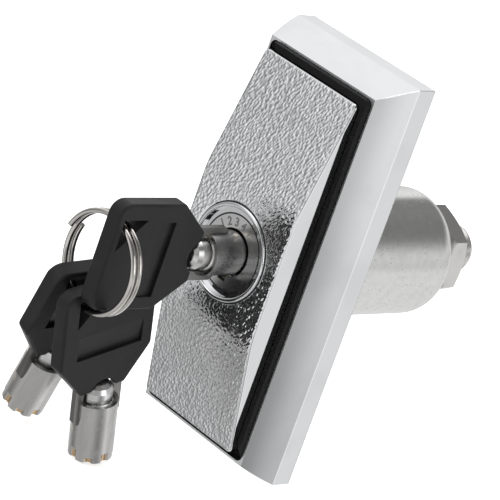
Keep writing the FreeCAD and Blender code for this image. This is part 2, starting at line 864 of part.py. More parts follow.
def make_shell():
    """Fixed shell of the tubular lock: face plate with the keyway and its index notch."""
    body = new_body("cylinder_shell")
    disc_bore = s.spindle_disc_radius + s.turn_gap
    turned(body, "shell", [
        (s.keyway_radius, -s.face_front), (s.shell_radius, -s.face_front),
        (s.shell_radius, -s.shell_end), (disc_bore, -s.shell_end),
        (disc_bore, -s.spindle_front - s.shear_gap),
        (s.lug_bore_radius, -s.spindle_front - s.shear_gap),
        (s.lug_bore_radius, -s.face_front + s.face_plate),
        (s.keyway_radius, -s.face_front + s.face_plate),
    ])
    notch = new_sketch(body, "XZ_Plane", "notch_outline", s.face_front)
    half = s.notch_width / 2
    rectangle(notch, -half, half, -s.notch_radius, -s.keyway_radius + s.overrun)
    pocket(body, notch, "index_notch", s.face_plate + s.face_gap)
    hole = new_sketch(body, "XY_Plane", "set_pin_hole_outline")
    circle(hole, 0, -s.set_pin_depth, s.set_pin_radius)
    pocket(body, hole, "set_pin_hole", s.shell_radius + s.overrun)
    return body


def make_spindle():
    """Rotor that the key turns: fluted post, disc with seven pin holes and its shaft."""
    body = new_body("spindle")
    tail = s.cam_back + s.face_gap
    turned(body, "rotor", [
        (0, -s.face_front), (s.spindle_post_radius, -s.face_front),
        (s.spindle_post_radius, -s.spindle_front), (s.spindle_disc_radius, -s.spindle_front),
        (s.spindle_disc_radius, -s.shear_line - s.shear_gap),
        (s.spindle_shaft_radius, -s.shear_line - s.shear_gap),
        (s.spindle_shaft_radius, -tail), (0, -tail),
    ])
    holes = new_sketch(body, "XZ_Plane", "pin_holes_outline", s.shear_line - s.overrun)
    for x, z in pin_places():
        circle(holes, x, z, s.pin_radius + s.pin_hole_gap)
    pocket(
        body, holes, "pin_holes", s.face_front - s.shear_line + s.overrun * 2, backwards=True,
    )
    return body


def make_pin_bushing():
    """Fixed block behind the shear line that holds the driver pins and their springs."""
    body = new_body("pin_bushing")
    turned(body, "block", [
        (s.spindle_shaft_radius + s.turn_gap, -s.shear_line),
        (s.spindle_disc_radius, -s.shear_line), (s.spindle_disc_radius, -s.bushing_end),
        (s.spindle_shaft_radius + s.turn_gap, -s.bushing_end),
    ])
    holes = new_sketch(body, "XZ_Plane", "driver_holes_outline", s.shear_line)
    for x, z in pin_places():
        circle(holes, x, z, s.pin_radius + s.pin_hole_gap)
    pocket(
        body, holes, "driver_holes",
        s.shear_line - s.driver_spring_end + s.driver_spring_gap,
    )
    hole = new_sketch(body, "XY_Plane", "set_pin_hole_outline")
    circle(hole, 0, -s.set_pin_depth, s.set_pin_radius)
    pocket(body, hole, "set_pin_hole", s.spindle_disc_radius + s.overrun)
    return body


def make_pins():
    """Key pins at the key's cuts, drivers at the shear line and the springs behind them."""
    key_pins, drivers, springs = [], [], []
    for i, ((x, z), cut) in enumerate(zip(pin_places(), CUT_DEPTHS), start=1):
        front = -(s.key_tip + cut) + s.cut_gap
        key_pins.append(rod("key_pin_%d" % i, s.pin_radius, front, -s.shear_line - s.shear_gap, x, z))
        driver_back = -s.shear_line + s.driver_length
        drivers.append(rod("driver_pin_%d" % i, s.pin_radius, -s.shear_line, driver_back, x, z))
        outer = rod(
            "driver_spring_coil_%d" % i, s.pin_radius - s.driver_spring_gap,
            driver_back, -s.driver_spring_end, x, z,
        )
        inner = rod(
            "driver_spring_core_%d" % i, s.driver_spring_bore,
            driver_back - s.overrun, -s.driver_spring_end + s.overrun, x, z,
        )
        sleeve = doc.addObject("Part::Cut", "driver_spring_%d" % i)
        sleeve.Base = outer
        sleeve.Tool = inner
        springs.append(sleeve)
    doc.recompute()
    return [
        group("key_pins", key_pins),
        group("driver_pins", drivers),
        group("driver_springs", springs),
    ]


def make_set_pin():
    """Radial pin that locks the shell and the pin bushing in the stem."""
    pin = doc.addObject("Part::Cylinder", "cylinder_set_pin")
    pin.Label = "cylinder_set_pin"
    bind(pin, "Radius", s.set_pin_radius)
    bind(pin, "Height", stem_radius - s.set_pin_sink - s.set_pin_inner)
    pin.Placement.Rotation = Base.Rotation(Vector(1, 0, 0), 180)
    bind(pin, "Placement.Base.y", -s.set_pin_depth)
    bind(pin, "Placement.Base.z", -s.set_pin_inner)
    return pin


# The cam's pin stands on a diagonal at rest, so both of its offsets are this share of the throw.
cam_share = Size(
    math.cos(math.radians(SIZES["cam_pin_angle"])), "cos(sizes.cam_pin_angle * 1deg)"
)


def make_cam():
    """Disc on the spindle's tail with the eccentric pin that drives the bolt."""
    body = new_body("locking_cam")
    front = -s.shell_end + s.face_gap
    turned(body, "disc", [
        (0, front), (s.cam_radius, front), (s.cam_radius, -s.cam_back), (0, -s.cam_back),
    ])
    pin = new_sketch(body, "XZ_Plane", "pin_outline", s.cam_back + s.cam_pin_root)
    circle(pin, cam_share * s.cam_throw, cam_share * s.cam_throw, s.cam_pin_radius)
    pad(body, pin, "eccentric_pin", s.cam_back - s.bolt_back + s.cam_pin_root, backwards=True)
    socket = new_sketch(body, "XZ_Plane", "tail_socket_outline", -front)
    circle(socket, 0, 0, s.spindle_shaft_radius + s.seat_gap)
    pocket(body, socket, "tail_socket", -(front + s.cam_back + s.face_gap) + s.seat_gap)
    return body


def make_bolt():
    """Flat bolt with a cross slot for the cam's pin and a rounded nose."""
    body = new_body("locking_bolt")
    plate = new_sketch(body, "XZ_Plane", "plate_outline", s.bolt_back)
    rectangle(plate, -s.bolt_width / 2, s.bolt_width / 2, -s.bolt_tail, bolt_tip_radius)
    pad(body, plate, "plate", s.bolt_front - s.bolt_back)
    slot = new_sketch(body, "XZ_Plane", "cross_slot_outline", s.bolt_front)
    half = s.bolt_slot_length / 2
    reach = s.cam_pin_radius + s.bolt_slot_gap
    middle = cam_share * s.cam_throw
    rectangle(slot, -half, half, middle - reach, middle + reach)
    pocket(body, slot, "cross_slot", s.bolt_front - s.bolt_back + s.overrun)
    nose = new_sketch(body, "XZ_Plane", "nose_outline", s.bolt_front + s.overrun)
    circle(nose, 0, 0, bolt_tip_radius * 2)
    circle(nose, 0, 0, bolt_tip_radius)
    pocket(body, nose, "rounded_nose", s.bolt_front - s.bolt_back + s.overrun * 2)
    return body


tube_rim = -s.tube_length
head_front = tube_rim - s.head_gap
head_back = head_front - s.head_length
head_half = s.head_width / 2


def make_tube(label):
    """Key tube with its index lug, seven bitting cuts and the slots for the tang."""
    body = new_body(label)
    turned(body, "barrel", [
        (s.tube_bore, tube_rim), (s.tube_radius, tube_rim), (s.tube_radius, 0), (s.tube_bore, 0),
    ])
    lug = new_sketch(body, "XZ_Plane", "lug_outline", s.lug_offset)
    rectangle(lug, -s.lug_width / 2, s.lug_width / 2, -s.lug_radius, -s.lug_root)
    pad(body, lug, "index_lug", s.lug_length)
    for i, ((x, z), cut) in enumerate(zip(pin_places(), CUT_DEPTHS), start=1):
        bit = new_sketch(body, "XZ_Plane", "cut_%d_outline" % i, -s.overrun)
        circle(bit, x, z, s.pin_radius + s.cut_gap)
        pocket(body, bit, "cut_%d" % i, s.overrun + cut, backwards=True)
    slot = new_sketch(body, "XZ_Plane", "tang_slot_outline", -tube_rim + s.overrun)
    half = s.tang_thickness / 2 + s.seat_gap
    reach = s.tube_radius + s.overrun
    rectangle(slot, -half, half, -reach, reach)
    pocket(body, slot, "tang_slot", s.tang_reach + s.overrun + s.tang_slot_gap)
    return body


def make_post(label):
    """Plug in the tube's end with a bullet-shaped head."""
    body = new_body(label)
    tip = tube_rim - s.post_length
    turned(body, "plug", [
        (0, tube_rim + s.post_shank), (s.post_shank_radius, tube_rim + s.post_shank),
        (s.post_shank_radius, tube_rim + s.post_chamfer), (s.post_radius, tube_rim),
        (s.post_radius, tip + s.post_dome),
    ] + [
        (s.post_radius * across, tip + s.post_dome * along) for across, along in DOME_STEPS
    ] + [(s.post_tip_radius, tip), (0, tip)])
    return body


def tang_outline(sketch):
    """Fork that straddles the post: two legs joined by a web behind it."""
    half = s.tang_half_width
    inner = s.post_shank_radius + s.tang_slot_gap
    leg = tube_rim + s.tang_reach
    web = head_front - s.tang_web
    back = head_front - s.tang_back
    taper = s.tang_corner
    outline(sketch, [
        (back, -half), (leg - taper, -half), (leg, -half + taper), (leg, -inner),
        (web, -inner), (web, inner), (leg, inner), (leg, half - taper),
        (leg - taper, half), (back, half),
    ])


def make_tang(label):
    """Flat steel fork moulded into the head, its ears in the tube's slots."""
    body = new_body(label)
    fork = new_sketch(body, "YZ_Plane", "fork_outline")
    tang_outline(fork)
    pad(body, fork, "fork", s.tang_thickness, both=True)
    return body


def make_head(label):
    """Moulded key head with its ring hole, sunken panels and the notch for the post."""
    body = new_body(label)
    side = new_sketch(body, "YZ_Plane", "side_outline")
    neck = s.head_neck / 2
    shoulder = head_front - s.head_shoulder
    outline(side, [
        (head_back, -head_half), (shoulder, -head_half), (head_front, -neck),
        (head_front, neck), (shoulder, head_half), (head_back, head_half),
    ])
    pad(body, side, "plate", s.head_thickness, both=True)
    rounded(
        body, "outer_corners", s.head_corner,
        lambda p: near(p.y, head_back) and near(abs(p.z), head_half), 2,
    )
    rounded(
        body, "shoulder_corners", s.head_shoulder_round,
        lambda p: near(p.y, shoulder) and near(abs(p.z), head_half), 2,
    )
    half = s.head_thickness / 2
    rounded(body, "face_edges", s.head_edge, lambda p: near(abs(p.x), half), 20)

    notch = new_sketch(body, "YZ_Plane", "notch_outline")
    middle = tube_rim - s.post_length + s.head_notch_radius - s.head_notch_depth
    circle(notch, middle, 0, s.head_notch_radius)
    pocket(body, notch, "post_notch", s.head_thickness + s.overrun, both=True)

    # Ring hole: a right-angled triangle in the upper outer corner.
    corner_y = head_back + s.hole_offset
    corner_z = head_half - s.hole_offset * 2
    hole = new_sketch(body, "YZ_Plane", "ring_hole_outline")
    outline(hole, [
        (corner_y, corner_z), (corner_y + s.hole_leg_side, corner_z),
        (corner_y, corner_z - s.hole_leg_end),
    ])
    pocket(body, hole, "ring_hole", s.head_thickness + s.overrun, both=True)

    # Sunken panel on each face, a ramp that is deepest towards the lock.
    for name, sign in (("right", 1), ("left", -1)):
        ramp = new_sketch(body, "XY_Plane", name + "_panel_outline", -s.panel_bottom)
        face = half * sign
        outline(ramp, [
            (face, head_back + s.panel_start),
            (face + s.overrun * sign, head_back + s.panel_start),
            (face + s.overrun * sign, head_back + s.panel_end),
            (face - s.panel_sink * sign, head_back + s.panel_end),
        ])
        pocket(
            body, ramp, name + "_panel", s.panel_top + s.panel_bottom, backwards=True,
        )
    socket = new_sketch(body, "YZ_Plane", "tang_socket_outline")
    tang_outline(socket)
    pocket(body, socket, "tang_socket", s.tang_thickness, both=True)
    return body


def hole_centre():
    """Centre of the ring hole's inscribed circle in the key's own frame."""
    a, b = SIZES["hole_leg_side"], SIZES["hole_leg_end"]
    inset = (a + b - math.hypot(a, b)) / 2
    y = head_back.value + SIZES["hole_offset"] + inset
    z = head_half.value - SIZES["hole_offset"] * 2 - inset
    return Vector(0, y, z)


def make_key(prefix, placement):
    """The four pieces of one key, placed together."""
    pieces = [
        make_tube(prefix + "_tube"),
        make_post(prefix + "_post"),
        make_tang(prefix + "_tang"),
        make_head(prefix + "_head"),
    ]
    for piece in pieces:
        piece.Placement = placement
    return pieces


ring_pitch = SIZES["ring_wire"] + SIZES["ring_gap"]
main_hole = hole_centre() + Vector(0, -SIZES["key_tip"], 0)


def ring_height(x):
    """Height of the ring's upper half above its centre at a given x."""
    offset = x - SIZES["ring_centre_x"]
    return math.sqrt(SIZES["ring_radius"] ** 2 - offset ** 2)


def ring_angle(x, upper):
    """Angle from the ring's start of the place at x, in degrees."""
    offset = (x - SIZES["ring_centre_x"]) / SIZES["ring_radius"]
    angle = math.degrees(math.asin(offset))
    if not upper:
        angle = 180.0 - angle
    return (angle - SIZES["ring_start_angle"]) % 360.0


def pair_shift(x, upper):
    """How far the two coils' middle lies from the ring's middle plane at x."""
    return ring_pitch * (ring_angle(x, upper) / 360.0 - 0.5)


head_half_thick = SIZES["head_thickness"] / 2
ring_centre = Vector(
    SIZES["ring_centre_x"],
    main_hole.y - pair_shift(0.0, True),
    main_hole.z - (ring_height(-head_half_thick) + ring_height(head_half_thick)) / 2,
)


def make_split_ring():
    """Split ring of two coils through the three keys' holes."""
    feature = doc.addObject("Part::Feature", "split_ring")
    feature.Label = "split_ring"
    centre = ring_centre - Vector(0, ring_pitch * SIZES["ring_turns"] / 2, 0)
    feature.Shape = coil_shape(
        centre, SIZES["ring_radius"], SIZES["ring_wire"], ring_pitch,
        SIZES["ring_turns"], math.radians(SIZES["ring_start_angle"]),
    )
    print("split ring: gap between coils %.2f mm" % (ring_pitch - SIZES["ring_wire"]))
    return feature


def hanging(x, swing, lean):
    """Placement of a spare key that hangs on the ring's lower half at x."""
    spot = Vector(
        x, ring_centre.y + pair_shift(x, False), ring_centre.z - ring_height(x)
    )
    down = Base.Rotation(Vector(-1, 0, 0), Vector(0, 0, -1), Vector(0, -1, 0), "XYZ")
    turn = Base.Rotation(Vector(0, 1, 0), lean).multiply(Base.Rotation(Vector(1, 0, 0), swing))
    rotation = turn.multiply(down)
    base = spot - rotation.multVec(hole_centre())
    print("hanging key: hole at %.2f %.2f %.2f" % (spot.x, spot.y, spot.z))
    return Base.Placement(base, rotation)


spare_1_x = -(SIZES["head_thickness"] + SIZES["spare_gap"])
spare_2_x = spare_1_x - (SIZES["head_thickness"] + SIZES["spare_2_gap"])

nodes = [make_housing(), make_liner(), make_bushing(), make_drive_shaft(), make_clip()]
nodes += [make_nut(), make_return_spring(), make_handle(), make_end_cap(), make_collar()]
nodes += [make_shell(), make_spindle(), make_pin_bushing()] + make_pins()
nodes += [make_set_pin(), make_cam(), make_bolt()]
main_place = Base.Placement(Vector(0, -SIZES["key_tip"], 0), Base.Rotation())
nodes += make_key("main_key", main_place)
nodes += make_key("spare_key_1", hanging(spare_1_x, SIZES["spare_1_swing_angle"], 0.0))
nodes += make_key(
    "spare_key_2", hanging(spare_2_x, SIZES["spare_2_swing_angle"], SIZES["spare_2_lean_angle"])
)
nodes.append(make_split_ring())

doc.recompute()
for thing in doc.Objects:
    bad = [state for state in thing.State if state in ("Invalid", "Error")]
    if bad:
        raise RuntimeError("%s is %s" % (thing.Name, ", ".join(bad)))
for node in nodes:
    if node.Shape.isNull() or not node.Shape.isValid():
        raise RuntimeError("%s has no valid shape" % node.Label)

os.makedirs("parts", exist_ok=True)
for node in nodes:
    node.Shape.exportStep("parts/%s.step" % node.Label)
    box = node.Shape.BoundBox
    print(
        "%-20s solids %d volume %9.2f  x %.2f %.2f  y %.2f %.2f  z %.2f %.2f"
        % (
            node.Label, len(node.Shape.Solids), node.Shape.Volume,
            box.XMin, box.XMax, box.YMin, box.YMax, box.ZMin, box.ZMax,
        )
    )
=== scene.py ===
"""Looks of the pop-out handle lock with its tubular keys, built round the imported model."""

import logging
import math
from dataclasses import dataclass, replace
from enum import Enum
from typing import Optional, Union

import bmesh
import bpy
from mathutils import Matrix, Vector, noise


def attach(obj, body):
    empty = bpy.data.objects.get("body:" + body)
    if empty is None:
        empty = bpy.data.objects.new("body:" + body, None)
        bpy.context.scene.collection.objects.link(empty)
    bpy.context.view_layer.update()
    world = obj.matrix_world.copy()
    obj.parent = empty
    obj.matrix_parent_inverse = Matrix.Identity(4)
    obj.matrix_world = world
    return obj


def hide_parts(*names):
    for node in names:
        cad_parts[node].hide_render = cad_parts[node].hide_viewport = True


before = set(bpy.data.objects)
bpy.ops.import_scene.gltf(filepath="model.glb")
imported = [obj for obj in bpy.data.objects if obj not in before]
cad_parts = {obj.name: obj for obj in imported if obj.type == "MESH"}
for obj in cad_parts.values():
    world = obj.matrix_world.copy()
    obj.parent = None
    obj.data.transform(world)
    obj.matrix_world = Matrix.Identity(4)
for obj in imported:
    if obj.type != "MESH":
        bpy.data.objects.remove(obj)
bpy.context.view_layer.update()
log = logging.getLogger("lock")

MM = 0.001
Color = tuple[float, float, float]
Socket = Union[bpy.types.NodeSocket, float, Color]


class Body(Enum):
    """Moving bodies that the pieces ride on."""

    HOUSING = "housing_body"
    HANDLE = "handle_body"
    SPINDLE = "spindle_body"
    MAIN_KEY = "key_body"
    RING = "ring_body"
    SPARE_1 = "spare_key_1_body"
    SPARE_2 = "spare_key_2_body"


class Graph:
    """Adds and links the nodes of one node tree."""

    def __init__(self, tree: bpy.types.NodeTree) -> None:
        """Starts on a tree.

        Args:
            tree: The tree of a material, a world or a node group.
        """
        self.tree = tree

    def add(self, kind: str, inputs: Optional[dict] = None, **settings: object) -> bpy.types.Node:
        """Adds a node.

        Args:
            kind: Blender's name of the node's type, without its ShaderNode prefix.
            inputs: Values or sockets for its inputs, by name or by place.
            **settings: Attributes of the node itself.

        Returns:
            The new node.
        """
        prefix = "" if kind.startswith("NodeGroup") else "ShaderNode"
        node = self.tree.nodes.new(prefix + kind)
        for name, value in settings.items():
            setattr(node, name, value)
        for name, value in (inputs or {}).items():
            self.feed(node.inputs[name], value)
        return node

    def feed(self, socket: bpy.types.NodeSocket, value: Socket) -> None:
        """Links a socket to an input, or sets the input's own value.

        Args:
            socket: The input.
            value: An output socket, a number or a colour.
        """
        if isinstance(value, bpy.types.NodeSocket):
            self.tree.links.new(value, socket)
        elif socket.type == "RGBA":
            socket.default_value = (*value, 1.0)
        else:
            socket.default_value = value

    def math(self, operation: str, *values: Socket, clamp: bool = False) -> bpy.types.NodeSocket:
        """Adds a Math node.

        Args:
            operation: Its operation.
            *values: Its inputs in order.
            clamp: Whether the result is kept between 0 and 1.

        Returns:
            Its output.
        """
        node = self.add("Math", dict(enumerate(values)), operation=operation, use_clamp=clamp)
        return node.outputs[0]

    def chain(self, operation: str, *values: Socket) -> Socket:
        """Joins values with one Math operation after another.

        Args:
            operation: The operation.
            *values: The values in order, the first of them a start.

        Returns:
            The last output.
        """
        result = values[0]
        for value in values[1:]:
            result = self.math(operation, result, value)
        return result

    def length(self, first: Socket, second: Socket) -> bpy.types.NodeSocket:
        """Gives the length of a flat vector from its two parts."""
        squares = [self.math("MULTIPLY", part, part) for part in (first, second)]
        return self.math("SQRT", self.math("ADD", *squares))

    def ramp(self, value: Socket, low: float, high: float,
             start: float = 0.0, end: float = 1.0) -> bpy.types.NodeSocket:
        """Maps a value smoothly from one range to another.

        Args:
            value: The value.
            low: Where the source range starts.
            high: Where the source range ends.
            start: The result at low.
            end: The result at high.

        Returns:
            The mapped value.
        """
        node = self.add("MapRange", {0: value, 1: low, 2: high, 3: start, 4: end},
                        interpolation_type="SMOOTHSTEP")
        return node.outputs[0]

    def mix(self, factor: Socket, a: Socket, b: Socket) -> bpy.types.NodeSocket:
        """Mixes two colours.

        Args:
            factor: 0 for the first, 1 for the second.
            a: The first colour.
            b: The second colour.

        Returns:
            The mixed colour.
        """
        node = self.add("Mix", {0: factor, 6: a, 7: b}, data_type="RGBA")
        return node.outputs[2]

    def blend(self, factor: Socket, a: Socket, b: Socket) -> bpy.types.NodeSocket:
        """Mixes two numbers, as mix does colours."""
        return self.add("Mix", {0: factor, 2: a, 3: b}, data_type="FLOAT").outputs[0]

    def noise(self, vector: Socket, scale: float, detail: float = 3.0,
              roughness: float = 0.5) -> bpy.types.NodeSocket:
        """Adds a Noise texture.

        Args:
            vector: Its coordinates.
            scale: Its scale per metre.
            detail: Its octaves.
            roughness: How much the fine octaves count.

        Returns:
            Its value.
        """
        node = self.add("TexNoise", {"Vector": vector, "Scale": scale, "Detail": detail,
                                     "Roughness": roughness})
        return node.outputs["Fac"]

    def place(self) -> bpy.types.NodeSocket:
        """Gives the Object coordinates."""
        return self.add("TexCoord").outputs["Object"]

    def split(self, vector: Socket) -> list[bpy.types.NodeSocket]:
        """Gives a vector's three parts."""
        return list(self.add("SeparateXYZ", {0: vector}).outputs)

    def bump(self, height: Socket, strength: float, depth: float,
             normal: Optional[Socket] = None) -> bpy.types.NodeSocket:
        """Adds a Bump node.

        Args:
            height: Height from 0 to 1.
            strength: How strongly it acts.
            depth: What a height of 1 stands for, in metres.
            normal: A normal that it starts from.

        Returns:
            The bumped normal.
        """
        node = self.add("Bump", {"Height": height, "Strength": strength, "Distance": depth})
        if normal is not None:
            self.feed(node.inputs["Normal"], normal)
        return node.outputs["Normal"]


def new_group(name: str, inputs: dict[str, tuple[str, float]],
              outputs: dict[str, str]) -> tuple[bpy.types.NodeTree, Graph, dict, dict]:
    """Starts a shader node group.

    Args:
        name: The group's name.
        inputs: Each input's socket type and default.
        outputs: Each output's socket type.

    Returns:
        The group, a graph on it, its input sockets and its output sockets by name.
    """
    tree = bpy.data.node_groups.new(name, "ShaderNodeTree")
    for label, (kind, default) in inputs.items():
        socket = tree.interface.new_socket(label, in_out="INPUT", socket_type=kind)
        if kind == "NodeSocketFloat":
            socket.default_value = default
    for label, kind in outputs.items():
        tree.interface.new_socket(label, in_out="OUTPUT", socket_type=kind)
    graph = Graph(tree)
    source = graph.add("NodeGroupInput").outputs
    target = graph.add("NodeGroupOutput").inputs
    return tree, graph, source, target


@dataclass
class Effects:
    """The node groups that several finishes share."""

    smear_band: tuple[float, float] = (0.42, 0.72)
    hair_scale: tuple[float, float, float] = (220.0, 220.0, 2600.0)
    hair_turn: tuple[float, float, float] = (0.35, 0.2, 0.5)
    hair_band: tuple[float, float] = (0.68, 0.74)
    pit_scale: float = 1500.0
    pit_band: tuple[float, float] = (0.05, 0.24)
    patch_scale: float = 330.0
    patch_gate: float = 0.31
    wave_share: float = 0.35
    tone_band: tuple[float, float] = (0.3, 0.7)

    def __post_init__(self) -> None:
        """Builds each group once."""
        self.handling = self.make_handling()
        self.pits = self.make_pits()
        self.turning = self.make_turning()

    def make_handling(self) -> bpy.types.NodeTree:
        """Builds the smears and faint scratches of a piece that has been handled.

        Returns:
            A group that puts out a roughness, a tint factor and a scratch height.
        """
        tree, g, i, o = new_group(
            "handling",
            {"Vector": ("NodeSocketVector", 0.0), "Clean": ("NodeSocketFloat", 0.1),
             "Smear": ("NodeSocketFloat", 0.08), "Scale": ("NodeSocketFloat", 90.0)},
            {"Roughness": "NodeSocketFloat", "Tint": "NodeSocketFloat",
             "Height": "NodeSocketFloat"})
        cloud = g.add("TexNoise", {"Vector": i["Vector"], "Scale": i["Scale"], "Detail": 4.0})
        soft = g.ramp(cloud.outputs["Fac"], *self.smear_band)
        amount = g.math("MULTIPLY", soft, i["Smear"])
        g.feed(o["Roughness"], g.math("ADD", amount, i["Clean"]))
        g.feed(o["Tint"], soft)
        stretch = g.add("Mapping", {"Vector": i["Vector"], "Scale": self.hair_scale,
                                    "Rotation": self.hair_turn})
        hair = g.noise(stretch.outputs[0], 1.0, 2.0)
        g.feed(o["Height"], g.ramp(hair, *self.hair_band))
        return tree

    def make_pits(self) -> bpy.types.NodeTree:
        """Builds the pinholes and low waves of a cast and lightly plated surface.

        Returns:
            A group that puts out a height and the pinhole mask that carries painted shade into the
            holes.
        """
        tree, g, i, o = new_group(
            "cast_pits",
            {"Vector": ("NodeSocketVector", 0.0), "Density": ("NodeSocketFloat", 0.5)},
            {"Height": "NodeSocketFloat", "PitShade": "NodeSocketFloat"})
        cells = g.add("TexVoronoi", {"Vector": i["Vector"], "Scale": self.pit_scale})
        patch = g.noise(i["Vector"], self.patch_scale)
        gate = g.math("GREATER_THAN", g.math("MULTIPLY", patch, i["Density"]), self.patch_gate)
        hole = g.ramp(cells.outputs["Distance"], *self.pit_band, 1.0, 0.0)
        hole = g.math("MULTIPLY", hole, gate)
        wave = g.noise(i["Vector"], self.pit_scale, 4.0, 0.6)
        g.feed(o["Height"], g.math("SUBTRACT", g.math("MULTIPLY", wave, self.wave_share), hole))
        g.feed(o["PitShade"], hole)
        return tree

    def make_turning(self) -> bpy.types.NodeTree:
        """Builds the fine rings that a lathe tool leaves about the Y axis.

        Returns:
            A group that puts out a height and a tone.
        """
        tree, g, i, o = new_group(
            "turning_marks",
            {"Vector": ("NodeSocketVector", 0.0), "Pitch": ("NodeSocketFloat", 0.00012)},
            {"Height": "NodeSocketFloat", "Tone": "NodeSocketFloat"})
        x, _, z = g.split(i["Vector"])
        ring = g.math("DIVIDE", g.length(x, z), i["Pitch"])
        line = g.add("CombineXYZ", {0: ring}).outputs[0]
        marks = g.noise(line, 1.0, 2.0)
        g.feed(o["Height"], marks)
        g.feed(o["Tone"], g.ramp(marks, *self.tone_band))
        return tree


@dataclass(frozen=True)
class Finish:
    """A finish with its colours and its measures."""

    name: str
    color: Color
    tint: Color
    metallic: float = 1.0
    clean: float = 0.1
    smear: float = 0.08
    smear_scale: float = 90.0
    scratch: float = 0.05
    scratch_depth: float = 0.00002
    grain_scale: float = 0.0
    grain_depth: float = 0.0
    coat: float = 0.0
    specular: float = 0.5

    def start(self, effects: Effects) -> tuple[bpy.types.Material, Graph, bpy.types.Node,
                                               bpy.types.Node]:
        """Makes the material with its handling marks and grain.

        Args:
            effects: The shared node groups.

        Returns:
            The material, a graph on it, its shader and its handling group.
        """
        material = bpy.data.materials.new(self.name)
        material.use_nodes = True
        material.diffuse_color = (*self.color, 1.0)
        material.metallic = self.metallic
        g = Graph(material.node_tree)
        shader = material.node_tree.nodes["Principled BSDF"]
        shader.inputs["Metallic"].default_value = self.metallic
        shader.inputs["Coat Weight"].default_value = self.coat
        shader.inputs["Specular IOR Level"].default_value = self.specular
        where = g.place()
        marks = g.add("Group", node_tree=effects.handling)
        for label, value in (("Vector", where), ("Clean", self.clean), ("Smear", self.smear),
                             ("Scale", self.smear_scale)):
            g.feed(marks.inputs[label], value)
        g.feed(shader.inputs["Base Color"], g.mix(marks.outputs["Tint"], self.color, self.tint))
        g.feed(shader.inputs["Roughness"], marks.outputs["Roughness"])
        normal = g.bump(marks.outputs["Height"], self.scratch, self.scratch_depth)
        if self.grain_scale:
            grain = g.noise(where, self.grain_scale, 4.0, 0.6)
            normal = g.bump(grain, 1.0, self.grain_depth, normal)
        g.feed(shader.inputs["Normal"], normal)
        return material, g, shader, marks

    def make(self, effects: Effects) -> bpy.types.Material:
        """Makes the plain form of the finish."""
        return self.start(effects)[0]


CHROME = Finish("polished_chrome", (0.83, 0.84, 0.85), (0.78, 0.79, 0.80), clean=0.045,
                smear=0.05)
SKIN = Finish("leather_cast_chrome", (0.86, 0.87, 0.88), (0.80, 0.81, 0.82), clean=0.11,
              smear=0.05, smear_scale=140.0, grain_scale=2600.0, grain_depth=0.000008)
COLLAR = Finish("collar_chrome", (0.82, 0.83, 0.84), (0.76, 0.77, 0.78), clean=0.05)
ZINC = Finish("bright_zinc_plate", (0.72, 0.71, 0.69), (0.60, 0.59, 0.57), clean=0.2, smear=0.12,
              grain_scale=1800.0, grain_depth=0.000008)
SPRING = Finish("drawn_spring_steel", (0.42, 0.42, 0.43), (0.33, 0.33, 0.34), clean=0.28,
                grain_scale=2200.0, grain_depth=0.00001)
RING_STEEL = Finish("nickelled_ring_steel", (0.64, 0.62, 0.59), (0.52, 0.50, 0.47), clean=0.12)
TANG_STEEL = Finish("nickelled_tang_steel", (0.27, 0.265, 0.26), (0.20, 0.195, 0.19), clean=0.3,
                    smear=0.15, grain_scale=1600.0, grain_depth=0.00001)
BRONZE = Finish("machined_bronze", (0.50, 0.36, 0.20), (0.38, 0.27, 0.15), clean=0.3)
BRASS = Finish("machined_brass", (0.74, 0.57, 0.28), (0.60, 0.45, 0.22), clean=0.25)
POST = Finish("satin_key_post", (0.74, 0.74, 0.74), (0.62, 0.61, 0.59), clean=0.24, smear=0.1,
              smear_scale=260.0, grain_scale=1900.0, grain_depth=0.000008)
COPPER = Finish("bare_copper_tip", (0.83, 0.55, 0.34), (0.70, 0.44, 0.27), clean=0.34,
                grain_scale=1500.0, grain_depth=0.00002)
PLASTIC = Finish("black_moulded_plastic", (0.018, 0.018, 0.019), (0.027, 0.027, 0.028),
                 metallic=0.0, clean=0.42, smear=0.12, smear_scale=160.0, grain_scale=3800.0,
                 grain_depth=0.00002, specular=0.22)
# Painted shade: near-black for the liner and gasket that stand in for the shade of the gap round
# the handle.
GAP_SHADE_BLACK = Finish("black_rubber", (0.006, 0.006, 0.006), (0.010, 0.010, 0.010), metallic=0.0,
                clean=0.5, smear=0.15, grain_scale=1500.0, grain_depth=0.00002, specular=0.15)
INK = Finish("engraved_filling", (0.26, 0.26, 0.26), (0.32, 0.32, 0.32), metallic=0.6, clean=0.5)
# Painted shade for the narrow gaps round the cylinder and the collar.
SEAM_SHADE = Finish("painted_seam_shade", (0.02, 0.02, 0.02), (0.03, 0.03, 0.03), metallic=0.0, clean=0.6,
              grain_scale=1800.0, grain_depth=0.00001)


